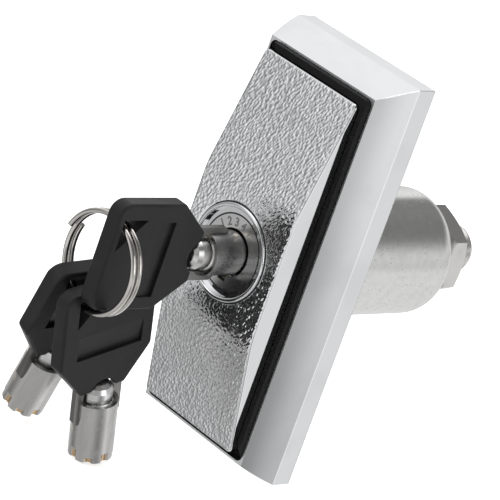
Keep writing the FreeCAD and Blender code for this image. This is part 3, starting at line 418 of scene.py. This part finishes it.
@dataclass(frozen=True)
class HousingFinish(Finish):
    """Chrome on the plate, and the barrel behind it left as cast with a thin satin plating."""

    barrel_color: Color = (0.79, 0.79, 0.78)
    barrel_rough: float = 0.17
    cloud_scale: float = 620.0
    cloud_band: tuple[float, float] = (0.35, 0.7)
    cloud_rough: float = 0.1
    # Painted shade colour for the barrel's pinholes.
    pit_shade_color: Color = (0.22, 0.22, 0.22)
    worn_share: float = 0.92
    pit_density: float = 0.62
    pit_depth: float = 0.00003
    parting: tuple[float, float] = (-0.0004, 0.0001)
    rim_front: float = -0.0128
    rim_rough: float = 0.45
    rim_band: tuple[float, float] = (0.00002, 0.00008)
    edge_band: tuple[float, float] = (0.0006, 0.002)
    edge_round: float = 0.0003

    def make(self, effects: Effects) -> bpy.types.Material:
        """Makes the two finishes in one material, parted at the plate's back face.

        Args:
            effects: The shared node groups.

        Returns:
            The material.
        """
        material, g, shader, marks = self.start(effects)
        where = g.place()
        _, depth, _ = g.split(where)
        behind = g.ramp(depth, *self.parting)
        pits = g.add("Group", node_tree=effects.pits)
        g.feed(pits.inputs["Vector"], where)
        g.feed(pits.inputs["Density"], self.pit_density)
        cloud = g.noise(where, self.cloud_scale, 5.0, 0.6)
        satin = g.mix(g.ramp(cloud, *self.cloud_band), self.barrel_color,
                      tuple(self.worn_share * c for c in self.barrel_color))
        # Painted shade: the pinholes are coloured dark as if shade lay in them.
        satin = g.mix(pits.outputs["PitShade"], satin, self.pit_shade_color)
        polished = g.mix(marks.outputs["Tint"], self.color, self.tint)
        g.feed(shader.inputs["Base Color"], g.mix(behind, polished, satin))
        rough = g.math("ADD", g.math("MULTIPLY", cloud, self.cloud_rough), self.barrel_rough)
        blend = g.blend(behind, marks.outputs["Roughness"], rough)
        on_rim = g.ramp(depth, *(self.rim_front + step for step in self.rim_band),
                        self.rim_rough, 0.0)
        g.feed(shader.inputs["Roughness"], g.math("MAXIMUM", blend, on_rim))
        height = g.math("MULTIPLY", pits.outputs["Height"], behind)
        reach = g.ramp(depth, *(self.rim_front + step for step in self.edge_band),
                       0.0, self.edge_round)
        edge = g.add("Bevel", {"Radius": reach}, samples=6)
        g.feed(shader.inputs["Normal"], g.bump(height, 1.0, self.pit_depth, edge.outputs[0]))
        return material


@dataclass(frozen=True)
class TurnedFinish(Finish):
    """A turned and plated face with fine rings."""

    pitch: float = 0.00012
    ring_depth: float = 0.000004
    tone_share: float = 0.25
    tone_dark: float = 0.8

    def make(self, effects: Effects) -> bpy.types.Material:
        """Makes the finish with its lathe rings.

        Args:
            effects: The shared node groups.

        Returns:
            The material.
        """
        material, g, shader, marks = self.start(effects)
        rings = g.add("Group", node_tree=effects.turning)
        g.feed(rings.inputs["Vector"], g.place())
        g.feed(rings.inputs["Pitch"], self.pitch)
        base = g.mix(marks.outputs["Tint"], self.color, self.tint)
        toned = g.mix(g.math("MULTIPLY", rings.outputs["Tone"], self.tone_share), base,
                      tuple(self.tone_dark * c for c in self.color))
        g.feed(shader.inputs["Base Color"], toned)
        g.feed(shader.inputs["Normal"], g.bump(rings.outputs["Height"], 1.0, self.ring_depth))
        return material


FACE = TurnedFinish("turned_nickel_face", (0.72, 0.72, 0.72), (0.63, 0.63, 0.62), clean=0.2)


@dataclass(frozen=True)
class TubeFinish(Finish):
    """Nickelled brass of a key, worn to the brass where it is cut, with painted pale highlight
    patches laid by noise.
    """

    brass: Color = (0.62, 0.45, 0.27)
    cream: Color = (0.80, 0.74, 0.62)
    worn_length: float = 2.6
    worn_end: float = 0.2
    cut_wall: tuple[float, float] = (4.05, 4.2)
    streak_scale: tuple[float, float, float] = (900.0, 140.0, 900.0)
    streak_rough: float = 0.12
    streak_band: tuple[float, float] = (0.3, 0.75)
    cloud_scale: float = 420.0
    highlight_scale: float = 190.0
    highlight_band: tuple[float, float] = (0.6, 0.68)

    def make_on(self, effects: Effects, key: "KeyPlace") -> bpy.types.Material:
        """Makes the finish for one key.

        Args:
            effects: The shared node groups.
            key: Where the key is.

        Returns:
            The material.
        """
        material, g, shader, marks = self.start(effects)
        material.name = "%s_%s" % (self.name, key.prefix)
        where = g.place()
        back = key.matrix().inverted()
        mapping = g.add("Mapping", {"Vector": where, "Location": tuple(back.to_translation()),
                                    "Rotation": tuple(back.to_euler("XYZ"))})
        local = mapping.outputs[0]
        x, y, z = g.split(local)
        cloud = g.noise(local, self.cloud_scale, 4.0, 0.6)
        streak = g.add("Mapping", {"Vector": local, "Scale": self.streak_scale})
        lines = g.noise(streak.outputs[0], 1.0)
        tip = g.ramp(g.math("ADD", y, g.math("MULTIPLY", cloud, MM)),
                     -self.worn_length * MM, -self.worn_end * MM)
        inside = g.ramp(g.length(x, z), *(r * MM for r in self.cut_wall), 1.0, 0.0)
        dull = g.mix(g.ramp(lines, *self.streak_band), self.color, self.tint)
        # Painted highlight: pale patches laid at random by noise stand in for the tube's sheen.
        highlight_patch = g.ramp(g.noise(local, self.highlight_scale, 2.0), *self.highlight_band)
        highlighted = g.mix(highlight_patch, dull, self.cream)
        worn = g.math("MULTIPLY", tip, inside)
        g.feed(shader.inputs["Base Color"], g.mix(worn, highlighted, self.brass))
        g.feed(shader.inputs["Roughness"],
               g.math("ADD", marks.outputs["Roughness"],
                      g.math("MULTIPLY", lines, self.streak_rough)))
        return material


TUBE = TubeFinish("nickelled_key_brass", (0.57, 0.565, 0.56), (0.50, 0.49, 0.475), clean=0.2,
                  smear=0.12, smear_scale=260.0)
# Painted shade: a darker copy of the tube's colours for the key in the lock, standing in for the
# dark surroundings that its tube reflects.
PAINTED_DARK_TUBE = replace(TUBE, name="painted_dark_key_brass", color=(0.37, 0.37, 0.37),
                      tint=(0.25, 0.245, 0.24))


class Mesher:
    """Holds a bmesh while a piece is shaped, and turns it into an object."""

    def __init__(self) -> None:
        """Starts with nothing."""
        self.bm = bmesh.new()

    def transform(self, matrix: Matrix) -> None:
        """Moves the whole mesh by a matrix."""
        bmesh.ops.transform(self.bm, matrix=matrix, verts=self.bm.verts)

    def turned(self, points: list[tuple[float, float]], steps: int = 64) -> None:
        """Spins an outline about Y.

        Args:
            points: Radius and depth of each corner, in millimetres.
            steps: Steps of the full turn.
        """
        verts = [self.bm.verts.new((r * MM, y * MM, 0.0)) for r, y in points]
        edges = [self.bm.edges.new(pair) for pair in zip(verts, verts[1:])]
        bmesh.ops.spin(self.bm, geom=verts + edges, cent=(0, 0, 0), axis=(0, 1, 0),
                       angle=math.tau, steps=steps, use_merge=True)
        bmesh.ops.remove_doubles(self.bm, verts=self.bm.verts, dist=1e-7)

    def finish(self, name: str, material: bpy.types.Material, body: Body, slot: str,
               smooth: float = 40.0) -> bpy.types.Object:
        """Makes the object, gives it its material and puts it on its body.

        Args:
            name: The piece's name.
            material: Its material.
            body: The body that it rides on.
            slot: The record's material slot; not used.
            smooth: Edges sharper than this many degrees stay sharp.

        Returns:
            The object.
        """
        bmesh.ops.recalc_face_normals(self.bm, faces=self.bm.faces)
        for face in self.bm.faces:
            face.smooth = True
        for edge in self.bm.edges:
            if len(edge.link_faces) == 2 and edge.calc_face_angle() > math.radians(smooth):
                edge.smooth = False
        mesh = bpy.data.meshes.new(name)
        self.bm.to_mesh(mesh)
        self.bm.free()
        mesh.materials.append(material)
        thing = bpy.data.objects.new(name, mesh)
        bpy.context.scene.collection.objects.link(thing)
        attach(thing, body.value)
        log.info("%s: %d faces", name, len(mesh.polygons))
        return thing


@dataclass
class KeyPlace:
    """Where one key is: its ring hole, its swing and its lean."""

    prefix: str
    body: Body
    hole: tuple[float, float, float]
    swing: float = 0.0
    lean: float = 0.0
    hanging: bool = True
    own_hole: tuple[float, float, float] = (0.0, -35.486, 5.986)
    key_tip: float = 15.2

    def matrix(self) -> Matrix:
        """Works out the key's place.

        Returns:
            The matrix from the key's own frame to the lock's, in metres.
        """
        if not self.hanging:
            return Matrix.Translation((0.0, -self.key_tip * MM, 0.0))
        down = Matrix(((-1, 0, 0), (0, 0, -1), (0, -1, 0))).transposed().to_4x4()
        turn = (Matrix.Rotation(math.radians(self.lean), 4, "Y")
                @ Matrix.Rotation(math.radians(self.swing), 4, "X")) @ down
        base = Vector(self.hole) - turn @ Vector(self.own_hole)
        return Matrix.Translation(base * MM) @ turn


@dataclass
class Camera:
    """The photograph's camera."""

    azimuth: float = 40.553
    elevation: float = 18.949
    roll: float = 19.849
    focal_px: float = 3074.8
    frame_px: float = 500.0
    sensor: float = 36.0
    distance: float = 603.5
    across: float = -10.089
    above: float = 0.184

    def build(self) -> None:
        """Makes the camera and sets it as the scene's."""
        az, el, roll = (math.radians(v) for v in (self.azimuth, self.elevation, self.roll))
        back = Vector((math.sin(az) * math.cos(el), -math.cos(az) * math.cos(el), math.sin(el)))
        level = Vector((math.cos(az), math.sin(az), 0.0))
        rise = back.cross(level)
        right = level * math.cos(roll) + rise * math.sin(roll)
        up = rise * math.cos(roll) - level * math.sin(roll)
        centre = (right * self.across + up * self.above + back * self.distance) * MM
        data = bpy.data.cameras.new("camera")
        data.sensor_width = self.sensor
        data.lens = self.focal_px * self.sensor / self.frame_px
        data.clip_start = 0.01
        thing = bpy.data.objects.new("camera", data)
        rotation = Matrix((right, up, back)).transposed().to_4x4()
        thing.matrix_world = Matrix.Translation(centre) @ rotation
        bpy.context.scene.collection.objects.link(thing)
        bpy.context.scene.camera = thing


@dataclass(frozen=True)
class Lamp:
    """An area lamp that points at the lock."""

    name: str
    spot: tuple[float, float, float]
    size: float
    power: float
    mirrored: bool = True

    def build(self) -> None:
        """Makes the lamp."""
        data = bpy.data.lights.new(self.name, "AREA")
        data.size = self.size
        data.energy = self.power
        thing = bpy.data.objects.new(self.name, data)
        thing.location = self.spot
        thing.visible_glossy = self.mirrored
        thing.rotation_euler = (-Vector(self.spot)).to_track_quat("-Z", "Y").to_euler()
        bpy.context.scene.collection.objects.link(thing)


@dataclass(frozen=True)
class Band:
    """A smooth change of level over a band of directions."""

    axis: str
    low: float
    high: float
    start: float = 0.0
    end: float = 1.0


@dataclass(frozen=True)
class Surround:
    """What reflections see: a pale studio with darker parts, in bands of directions."""

    rise: Band = Band("z", -0.1, 0.45, 0.62, 1.0)
    wall: tuple[Band, ...] = (Band("x", -0.52, -0.4), Band("y", 0.4, 0.62))
    screen: tuple[Band, ...] = (Band("x", 0.0, 0.3), Band("y", -0.85, -0.6))
    foot: Band = Band("z", 0.08, 0.5)
    dark_share: float = 0.8
    ahead: Band = Band("y", -0.3, 0.0, 1.0, 0.0)
    dimmed_ahead: Band = Band("y", -0.7, -0.25, 0.76, 1.0)
    across: tuple[Band, ...] = (Band("x", -0.86, -0.36, -0.62, 0.52),
                                Band("x", -0.2, 0.1, 1.0, -0.6))
    ground: float = 0.58
    ground_steps: tuple[Band, ...] = (Band("y", 0.1, 0.42, 0.0, 0.3),
                                      Band("y", 0.43, 0.48, 0.0, 0.35),
                                      Band("y", 0.62, 0.69, 0.0, -0.43))
    ground_ahead: tuple[Band, ...] = (Band("x", -0.85, -0.36, -0.32, 0.28),
                                      Band("z", -0.8, -0.42, -0.3, 0.0))
    ground_beside: tuple[Band, ...] = (Band("x", 0.66, 0.82), Band("z", -0.4, -0.27, -0.32, 0.0))
    horizon: Band = Band("z", -0.2, 0.02)

    def level(self, g: Graph, direction: Socket) -> bpy.types.NodeSocket:
        """Adds the nodes of the level.

        Args:
            g: A graph on the world's tree.
            direction: The direction that a ray looks in.

        Returns:
            The level in that direction.
        """
        parts = dict(zip("xyz", g.split(direction)))

        def at(*bands: Band) -> list[bpy.types.NodeSocket]:
            """Adds the ramp of each band."""
            return [g.ramp(parts[band.axis], band.low, band.high, band.start, band.end)
                    for band in bands]

        standing = g.math("MAXIMUM", g.math("MULTIPLY", *at(*self.wall)),
                          g.math("MULTIPLY", *at(*self.screen)))
        shade = g.chain("MULTIPLY", standing, *at(self.foot), self.dark_share)
        ahead = at(self.ahead)[0]
        across = g.chain("MULTIPLY", ahead, *at(*self.across))
        upper = g.chain("MULTIPLY", *at(self.rise, self.dimmed_ahead),
                        g.math("SUBTRACT", 1.0, shade), g.math("ADD", across, 1.0))
        slant = g.math("MULTIPLY", ahead, g.math("ADD", *at(*self.ground_ahead)))
        beside = g.math("MULTIPLY", *at(*self.ground_beside))
        lower = g.chain("ADD", self.ground, *at(*self.ground_steps), slant, beside)
        return g.blend(at(self.horizon)[0], lower, upper)


@dataclass
class Studio:
    """Floor, world and lamps."""

    floor_z: float = -46.8
    floor_half: float = 6.0
    floor_glow: float = 0.66
    floor_rough: float = 0.9
    floor_color: Color = (0.8, 0.8, 0.8)
    floor_seen: Color = (0.95, 0.95, 0.95)
    world_level: float = 0.62
    surround: Surround = Surround()
    lamps: tuple[Lamp, ...] = (
        Lamp("key_lamp", (-0.45, -0.9, 0.75), 0.8, 4.0, mirrored=False),
        Lamp("side_lamp", (0.95, 0.1, 0.35), 0.6, 1.6),
        Lamp("top_lamp", (0.0, 0.3, 1.1), 0.8, 2.5),
    )

    def build(self) -> None:
        """Makes the floor, the world and the lamps."""
        self.build_world()
        self.build_floor()
        for lamp in self.lamps:
            lamp.build()

    def build_world(self) -> None:
        """Makes a world that is white to the camera and has the surround in reflections."""
        world = bpy.data.worlds.new("studio")
        bpy.context.scene.world = world
        world.use_nodes = True
        g = Graph(world.node_tree)
        paths = g.add("LightPath").outputs
        seen = g.math("MAXIMUM", paths["Is Camera Ray"], paths["Is Transmission Ray"])
        mirrored = self.surround.level(g, g.add("TexCoord").outputs["Generated"])
        level = g.blend(paths["Is Glossy Ray"], self.world_level, mirrored)
        level = g.blend(seen, level, 1.0)
        g.feed(world.node_tree.nodes["Background"].inputs["Strength"], level)
        g.feed(world.node_tree.nodes["Background"].inputs["Color"], (1.0, 1.0, 1.0))

    def build_floor(self) -> None:
        """Makes the pale floor, which lets reflections through to the world's lower half."""
        mesher = Mesher()
        bmesh.ops.create_grid(mesher.bm, x_segments=1, y_segments=1, size=self.floor_half)
        mesher.transform(Matrix.Translation((0, 0, self.floor_z * MM)))
        mesh = bpy.data.meshes.new("floor")
        mesher.bm.to_mesh(mesh)
        mesher.bm.free()
        floor = bpy.data.objects.new("floor", mesh)
        bpy.context.scene.collection.objects.link(floor)
        material = bpy.data.materials.new("floor")
        material.use_nodes = True
        g = Graph(material.node_tree)
        shader = material.node_tree.nodes["Principled BSDF"]
        shader.inputs["Roughness"].default_value = self.floor_rough
        shader.inputs["Specular IOR Level"].default_value = 0.0
        paths = g.add("LightPath").outputs
        seen = g.math("MAXIMUM", paths["Is Camera Ray"], paths["Is Transmission Ray"])
        g.feed(shader.inputs["Base Color"], g.mix(seen, self.floor_color, self.floor_seen))
        shader.inputs["Emission Color"].default_value = (1.0, 1.0, 1.0, 1.0)
        g.feed(shader.inputs["Emission Strength"], g.math("MULTIPLY", seen, self.floor_glow))
        clear = g.add("BsdfTransparent", {"Color": (1.0, 1.0, 1.0)})
        chosen = g.add("MixShader", {0: paths["Is Glossy Ray"], 1: shader.outputs[0],
                                     2: clear.outputs[0]})
        output = material.node_tree.nodes["Material Output"]
        g.feed(output.inputs["Surface"], chosen.outputs[0])
        mesh.materials.append(material)


@dataclass
class HandleSkin:
    """The handle's leather-grained front, a skin over the crowned casting."""

    half_width: float = 13.05
    half_length: float = 37.3
    corner: float = 1.0
    edge: float = 0.12
    flat_front: float = 20.4
    end_front: float = 15.1
    flat_half: float = 13.0
    blend: float = 20.0
    seat_radius: float = 10.0
    step: float = 0.155
    cell: float = 0.6
    height: float = 0.15
    lift: float = 0.012
    seed: int = 7
    rim_fade: float = 0.2
    stretch: float = 0.6
    lean: float = 0.3
    warp_cells: float = 1.7
    warp_reach: float = 0.4
    crease: float = 0.6
    dome_drop: float = 0.45
    fine_size: float = 0.5
    fine_share: float = 0.3

    def front(self, z: float) -> float:
        """Gives the crown's depth at a height.

        Args:
            z: Height in millimetres.

        Returns:
            The Y coordinate of the casting's front in millimetres.
        """
        z = abs(z)
        run = self.half_length - self.flat_half
        slope = math.atan2(self.flat_front - self.end_front, run)
        reach = self.blend * math.tan(slope / 2)
        start = self.flat_half - reach
        end = self.flat_half + reach * math.cos(slope)
        if z <= start:
            return -self.flat_front
        if z < end:
            across = z - start
            return -self.flat_front + self.blend - math.sqrt(self.blend ** 2 - across ** 2)
        return -self.flat_front + (z - self.flat_half) * math.tan(slope)

    def pebble(self, x: float, z: float) -> float:
        """Gives the grain's height at a place.

        Args:
            x: Across the handle, in millimetres.
            z: Along the handle, in millimetres.

        Returns:
            Height from 0, in a crease, to 1, on a pebble.
        """
        warp = noise.noise_vector(Vector((x, 0.0, z)) / (self.cell * self.warp_cells))
        spot = Vector((x - z * self.lean, 0.0, z * self.stretch)) / self.cell
        near, far = noise.voronoi(spot + warp * self.warp_reach)[0][:2]
        crease = min(1.0, (far - near) / self.crease)
        dome = crease * (2 - crease) * (1 - self.dome_drop * near)
        fine = noise.noise(Vector((x, 3.0, z)) / self.fine_size) + 0.5
        return max(0.0, dome + (fine - dome) * self.fine_share)

    def build(self, material: bpy.types.Material) -> bpy.types.Object:
        """Makes the skin.

        Args:
            material: Its material.

        Returns:
            The piece.
        """
        noise.seed_set(self.seed)
        mesher = Mesher()
        bm = mesher.bm
        half_w, half_l = self.half_width - self.edge, self.half_length - self.edge
        columns = round(2 * half_w / self.step)
        rows = round(2 * half_l / self.step)
        bmesh.ops.create_grid(bm, x_segments=columns, y_segments=rows, size=1.0)
        for vert in bm.verts:
            vert.co = Vector((vert.co.x * half_w, 0.0, vert.co.y * half_l))
        hidden = [f for f in bm.faces
                  if all(math.hypot(v.co.x, v.co.z) < self.seat_radius for v in f.verts)]
        bmesh.ops.delete(bm, geom=hidden, context="FACES")
        round_corner = self.corner - self.edge
        for vert in bm.verts:
            x, z = vert.co.x, vert.co.z
            radius = math.hypot(x, z)
            if radius < self.seat_radius:
                x, z = x * self.seat_radius / radius, z * self.seat_radius / radius
            cx, cz = half_w - round_corner, half_l - round_corner
            dx, dz = abs(x) - cx, abs(z) - cz
            if dx > 0 and dz > 0 and math.hypot(dx, dz) > round_corner:
                pull = round_corner / math.hypot(dx, dz)
                x = math.copysign(cx + dx * pull, x)
                z = math.copysign(cz + dz * pull, z)
            rim = min(half_w - abs(x), half_l - abs(z), math.hypot(x, z) - self.seat_radius)
            fade = max(0.0, min(1.0, rim / self.rim_fade))
            raised = self.lift + self.height * self.pebble(x, z) * fade
            vert.co = Vector((x, self.front(z) - raised, z)) * MM
        return mesher.finish("handle_front_skin", material, Body.HANDLE, "chromed_zinc", 80.0)


@dataclass
class GapShadeLiner:
    """Painted shade: a near-black liner in the gap round the handle, standing in for the gap's
    shade, with a lip that stands up at the top and right and is low elsewhere.
    """

    outer: tuple[float, float, float] = (14.4, 38.8, 1.35)
    inner: tuple[float, float, float] = (13.15, 37.4, 1.1)
    hole: float = 10.9
    back: float = -6.0
    floor: float = -6.8
    high: float = -14.3
    low: float = -11.2
    left_end: float = -13.0
    slope: tuple[float, float] = (-38.3, -37.0)
    side_points: int = 40
    arc_points: int = 8

    def outline(self, half_w: float, half_l: float, corner: float) -> list[Vector]:
        """Gives the points of a rounded rectangle in order.

        Args:
            half_w: Half of its width.
            half_l: Half of its length.
            corner: Its corners' radius.

        Returns:
            The points in millimetres, their Y at 0.
        """
        points = []
        for quarter in range(4):
            sx, sz = ((1, 1), (-1, 1), (-1, -1), (1, -1))[quarter]
            centre = Vector((sx * (half_w - corner), 0.0, sz * (half_l - corner)))
            for step in range(self.arc_points + 1):
                angle = math.radians(90 * (quarter + step / self.arc_points))
                points.append(centre + Vector((math.cos(angle), 0.0, math.sin(angle))) * corner)
            following = points[-1].copy()
            if quarter % 2:
                following.z = -following.z
            else:
                following.x = -following.x
            for step in range(1, self.side_points):
                points.append(points[-1].lerp(following, 1 / (self.side_points - step + 1)))
        return points

    def top(self, spot: Vector) -> float:
        """Gives the lip's height at a place.

        Args:
            spot: The place, in millimetres.

        Returns:
            The Y coordinate of the lip's front, in millimetres.
        """
        start, end = self.slope
        share = max(0.0, min(1.0, (spot.z - start) / (end - start)))
        if spot.x < self.left_end:
            share = 0.0
        return self.low + (self.high - self.low) * share

    def build(self, material: bpy.types.Material) -> None:
        """Makes the liner in place of the plain one.

        Args:
            material: Its material.
        """
        mesher = Mesher()
        bm = mesher.bm
        outer, inner = self.outline(*self.outer), self.outline(*self.inner)
        hole = [p.normalized() * self.hole for p in inner]
        rings = [
            [Vector((p.x, self.back, p.z)) for p in outer],
            [Vector((p.x, self.top(p), p.z)) for p in outer],
            [Vector((p.x, self.top(q), p.z)) for p, q in zip(inner, outer)],
            [Vector((p.x, self.floor, p.z)) for p in inner],
            [Vector((p.x, self.floor, p.z)) for p in hole],
            [Vector((p.x, self.back, p.z)) for p in hole],
        ]
        loops = []
        for ring in rings:
            made = bmesh.ops.create_circle(bm, segments=len(ring), radius=1.0)["verts"]
            for vert, spot in zip(made, ring):
                vert.co = spot * MM
            loops.append([e for e in bm.edges if e.verts[0] in made and e.verts[1] in made])
        for first, second in zip(loops, loops[1:] + loops[:1]):
            bmesh.ops.bridge_loops(bm, edges=first + second)
        # Painted shade: this liner stands in for the shade of the gap.
        piece = mesher.finish("recess_gap_shade", material, Body.HOUSING, "black_rubber")
        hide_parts("recess_gasket")


@dataclass
class ThreadedShaft:
    """The drive shaft with its real thread, in place of the plain solid."""

    crest: float = 5.0
    root: float = 4.3
    journal: float = 5.2
    pitch: float = 1.5
    thread_start: float = 34.4
    end: float = 47.0
    chamfer: float = 0.7
    barrel_end: float = 33.3
    neck: float = 4.3
    square_front: float = 7.4
    square: float = 7.0
    flange_front: float = 26.6
    flange_back: float = 28.4
    flange_radius: float = 7.0
    square_edge: float = 0.25
    sink: float = 0.1
    tooth_root: float = 0.72
    tooth_crest: float = 0.12
    steps: int = 48

    def build(self, material: bpy.types.Material) -> None:
        """Makes the core, the square bar and the thread's ridge.

        Args:
            material: Their material.
        """
        core = Mesher()
        core.turned([
            (0.0, self.flange_front), (self.flange_radius, self.flange_front),
            (self.flange_radius, self.flange_back), (self.journal, self.flange_back),
            (self.journal, self.barrel_end), (self.neck, self.barrel_end + 0.3),
            (self.root, self.end - self.chamfer + self.sink),
            (self.root - self.sink, self.end), (0.0, self.end),
        ])
        bar = Mesher()
        bmesh.ops.create_cube(bar.bm, size=1.0)
        length = self.flange_front + 2 * self.sink - self.square_front
        scale = Matrix.Diagonal((self.square * MM, length * MM, self.square * MM, 1.0))
        bar.transform(Matrix.Translation((0, (self.square_front + length / 2) * MM, 0)) @ scale)
        bmesh.ops.bevel(bar.bm, geom=bar.bm.edges[:], offset=self.square_edge * MM,
                        affect="EDGES", segments=2, profile=0.5, material=-1)
        ridge = Mesher()
        turns = (self.end - self.thread_start) / self.pitch - 1.0
        low, high = self.root - self.sink, self.crest
        tooth = [(low, -self.tooth_root), (high, -self.tooth_crest),
                 (high, self.tooth_crest), (low, self.tooth_root)]
        start = self.thread_start + self.pitch / 2
        verts = [ridge.bm.verts.new((r * MM, (start + y) * MM, 0.0)) for r, y in tooth]
        edges = [ridge.bm.edges.new(pair) for pair in zip(verts, verts[1:] + verts[:1])]
        ridge.bm.faces.new(verts)
        count = round(self.steps * turns)
        bmesh.ops.spin(ridge.bm, geom=verts + edges, cent=(0, 0, 0), axis=(0, -1, 0),
                       dvec=(0, self.pitch * MM / self.steps, 0),
                       angle=math.tau * count / self.steps, steps=count, use_merge=False)
        ridge.bm.faces.new(ridge.bm.verts[-4:])
        pieces = [
            core.finish("drive_shaft_core", material, Body.HOUSING, "zinc_plated_steel"),
            bar.finish("drive_shaft_square", material, Body.HOUSING, "zinc_plated_steel"),
            ridge.finish("drive_shaft_thread", material, Body.HOUSING, "zinc_plated_steel", 25.0),
        ]
        for piece in pieces:
            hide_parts("drive_shaft")


@dataclass
class FaceDigits:
    """Four generic digits engraved along the top of the lock's face."""

    digits: str = "1234"
    circle: float = 5.95
    size: float = 2.35
    stroke: float = 0.07
    first: float = -47.0
    step: float = 19.0
    face: float = -19.9
    proud: float = 0.012
    mark: tuple[float, float, float] = (0.28, 1.0, 0.02)

    def build(self, material: bpy.types.Material) -> None:
        """Makes each digit as a flat piece on the face.

        Args:
            material: The filling of the engraving.
        """
        for place, digit in enumerate(self.digits):
            curve = bpy.data.curves.new("digit_%s" % digit, "FONT")
            curve.body = digit
            curve.size = self.size * MM
            curve.offset = self.stroke * MM
            curve.align_x = "CENTER"
            curve.align_y = "CENTER"
            text = bpy.data.objects.new("text", curve)
            bpy.context.scene.collection.objects.link(text)
            bpy.context.view_layer.update()
            flat = bpy.data.meshes.new_from_object(text)
            mesher = Mesher()
            mesher.bm.from_mesh(flat)
            bpy.data.objects.remove(text)
            angle = math.radians(self.first + self.step * place)
            upright = Matrix.Rotation(math.radians(90), 4, "X")
            turn = Matrix.Rotation(angle, 4, "Y")
            spot = Matrix.Translation((0, (self.face - self.proud) * MM, self.circle * MM))
            mesher.transform(turn @ spot @ upright)
            mesher.finish("face_digit_%d" % (place + 1), material, Body.HANDLE, "nickelled_brass")
        mesher = Mesher()
        bmesh.ops.create_cube(mesher.bm, size=MM)
        width, length, thickness = self.mark
        mesher.transform(
            Matrix.Rotation(math.radians(self.first + self.step * len(self.digits)), 4, "Y")
            @ Matrix.Translation(
                (0, (self.face - self.proud + thickness / 2) * MM, self.circle * MM))
            @ Matrix.Diagonal((width, thickness, length, 1.0)))
        mesher.finish("face_mark", material, Body.HANDLE, "nickelled_brass")


@dataclass
class SeamShades:
    """Painted shade: flat dark rings for the shade in the narrow gaps where the cylinder sits in
    its collar and the collar in the handle.
    """

    shell: tuple[float, float, float] = (7.4, 7.72, -19.912)
    collar: tuple[float, float, float] = (9.7, 10.02, -20.408)

    def build(self, material: bpy.types.Material) -> None:
        """Makes both lines as flat rings.

        Args:
            material: The painted shade of a narrow gap.
        """
        for name, (inner, outer, depth) in (("shell", self.shell), ("collar", self.collar)):
            mesher = Mesher()
            mesher.turned([(inner, depth), (outer, depth)], 128)
            mesher.finish(name + "_seam", material, Body.HANDLE, "chromed_zinc")


@dataclass
class KeyTip:
    """The flat copper-coloured end of a key's post."""

    post_end: float = -16.8
    radius: float = 0.95
    depth: float = 0.05
    flat_share: float = 0.75
    foot_share: float = 1.32
    foot_depth: float = 0.14

    def build(self, key: KeyPlace, material: bpy.types.Material) -> None:
        """Makes the tip on one key.

        Args:
            key: The key.
            material: Its material.
        """
        mesher = Mesher()
        end = self.post_end
        mesher.turned([
            (0.0, end - self.depth), (self.radius * self.flat_share, end - self.depth),
            (self.radius, end), (self.radius * self.foot_share, end + self.foot_depth),
            (0.0, end + self.foot_depth),
        ], 32)
        mesher.transform(key.matrix())
        mesher.finish(key.prefix + "_tip", material, key.body, "nickelled_brass")


KEYS = [
    KeyPlace("main_key", Body.MAIN_KEY, (0.0, 0.0, 0.0), hanging=False),
    KeyPlace("spare_key_1", Body.SPARE_1, (-4.10, -49.96, -12.74), swing=16.0),
    KeyPlace("spare_key_2", Body.SPARE_2, (-9.38, -49.81, -10.17), swing=7.0, lean=19.0),
]


class Dresser:
    """Gives each carried-over node its finish."""

    def __init__(self, effects: Effects) -> None:
        """Keeps the shared groups and the materials made so far.

        Args:
            effects: The shared node groups.
        """
        self.effects = effects
        self.made: dict[str, bpy.types.Material] = {}

    def material(self, finish: Finish) -> bpy.types.Material:
        """Gives the material of a finish, made once.

        Args:
            finish: The finish.

        Returns:
            Its material.
        """
        if finish.name not in self.made:
            self.made[finish.name] = finish.make(self.effects)
        return self.made[finish.name]

    def dress(self, node: str, material: bpy.types.Material) -> None:
        """Puts a material in each slot of a node.

        Args:
            node: The node's name.
            material: The material.
        """
        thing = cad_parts[node]
        if not thing.material_slots:
            thing.data.materials.append(material)
        for slot in thing.material_slots:
            slot.material = material
        log.info("%s dressed in %s", node, material.name)


HOUSING = HousingFinish("chromed_housing", CHROME.color, CHROME.tint, clean=0.045, smear=0.05)

NODE_FINISHES = {
    "housing": HOUSING, "recess_gasket": GAP_SHADE_BLACK, "rear_bushing": BRONZE,
    "drive_shaft": ZINC, "shaft_clip": SPRING, "hex_nut": ZINC, "return_spring": SPRING,
    "handle": CHROME, "stem_end_cap": ZINC, "lock_collar": COLLAR, "cylinder_shell": FACE,
    "spindle": FACE, "pin_bushing": BRASS, "key_pins": BRASS, "driver_pins": BRASS,
    "driver_springs": SPRING, "cylinder_set_pin": SPRING, "locking_cam": ZINC,
    "locking_bolt": ZINC, "split_ring": RING_STEEL,
}


def main() -> None:
    """Builds the stage and every piece."""
    logging.basicConfig(level=logging.INFO, format="%(name)s: %(message)s")
    bpy.context.scene.view_settings.view_transform = "Standard"
    Camera().build()
    Studio().build()
    effects = Effects()
    dresser = Dresser(effects)
    for node, finish in NODE_FINISHES.items():
        dresser.dress(node, dresser.material(finish))
    for key in KEYS:
        tube = (TUBE if key.hanging else PAINTED_DARK_TUBE).make_on(effects, key)
        dresser.dress(key.prefix + "_tube", tube)
        dresser.dress(key.prefix + "_post", dresser.material(POST))
        dresser.dress(key.prefix + "_tang", dresser.material(TANG_STEEL))
        dresser.dress(key.prefix + "_head", dresser.material(PLASTIC))
        KeyTip().build(key, dresser.material(COPPER))
    HandleSkin().build(dresser.material(SKIN))
    GapShadeLiner().build(dresser.material(GAP_SHADE_BLACK))
    ThreadedShaft().build(dresser.material(ZINC))
    FaceDigits().build(dresser.material(INK))
    SeamShades().build(dresser.material(SEAM_SHADE))


if __name__ == "__main__":
    main()
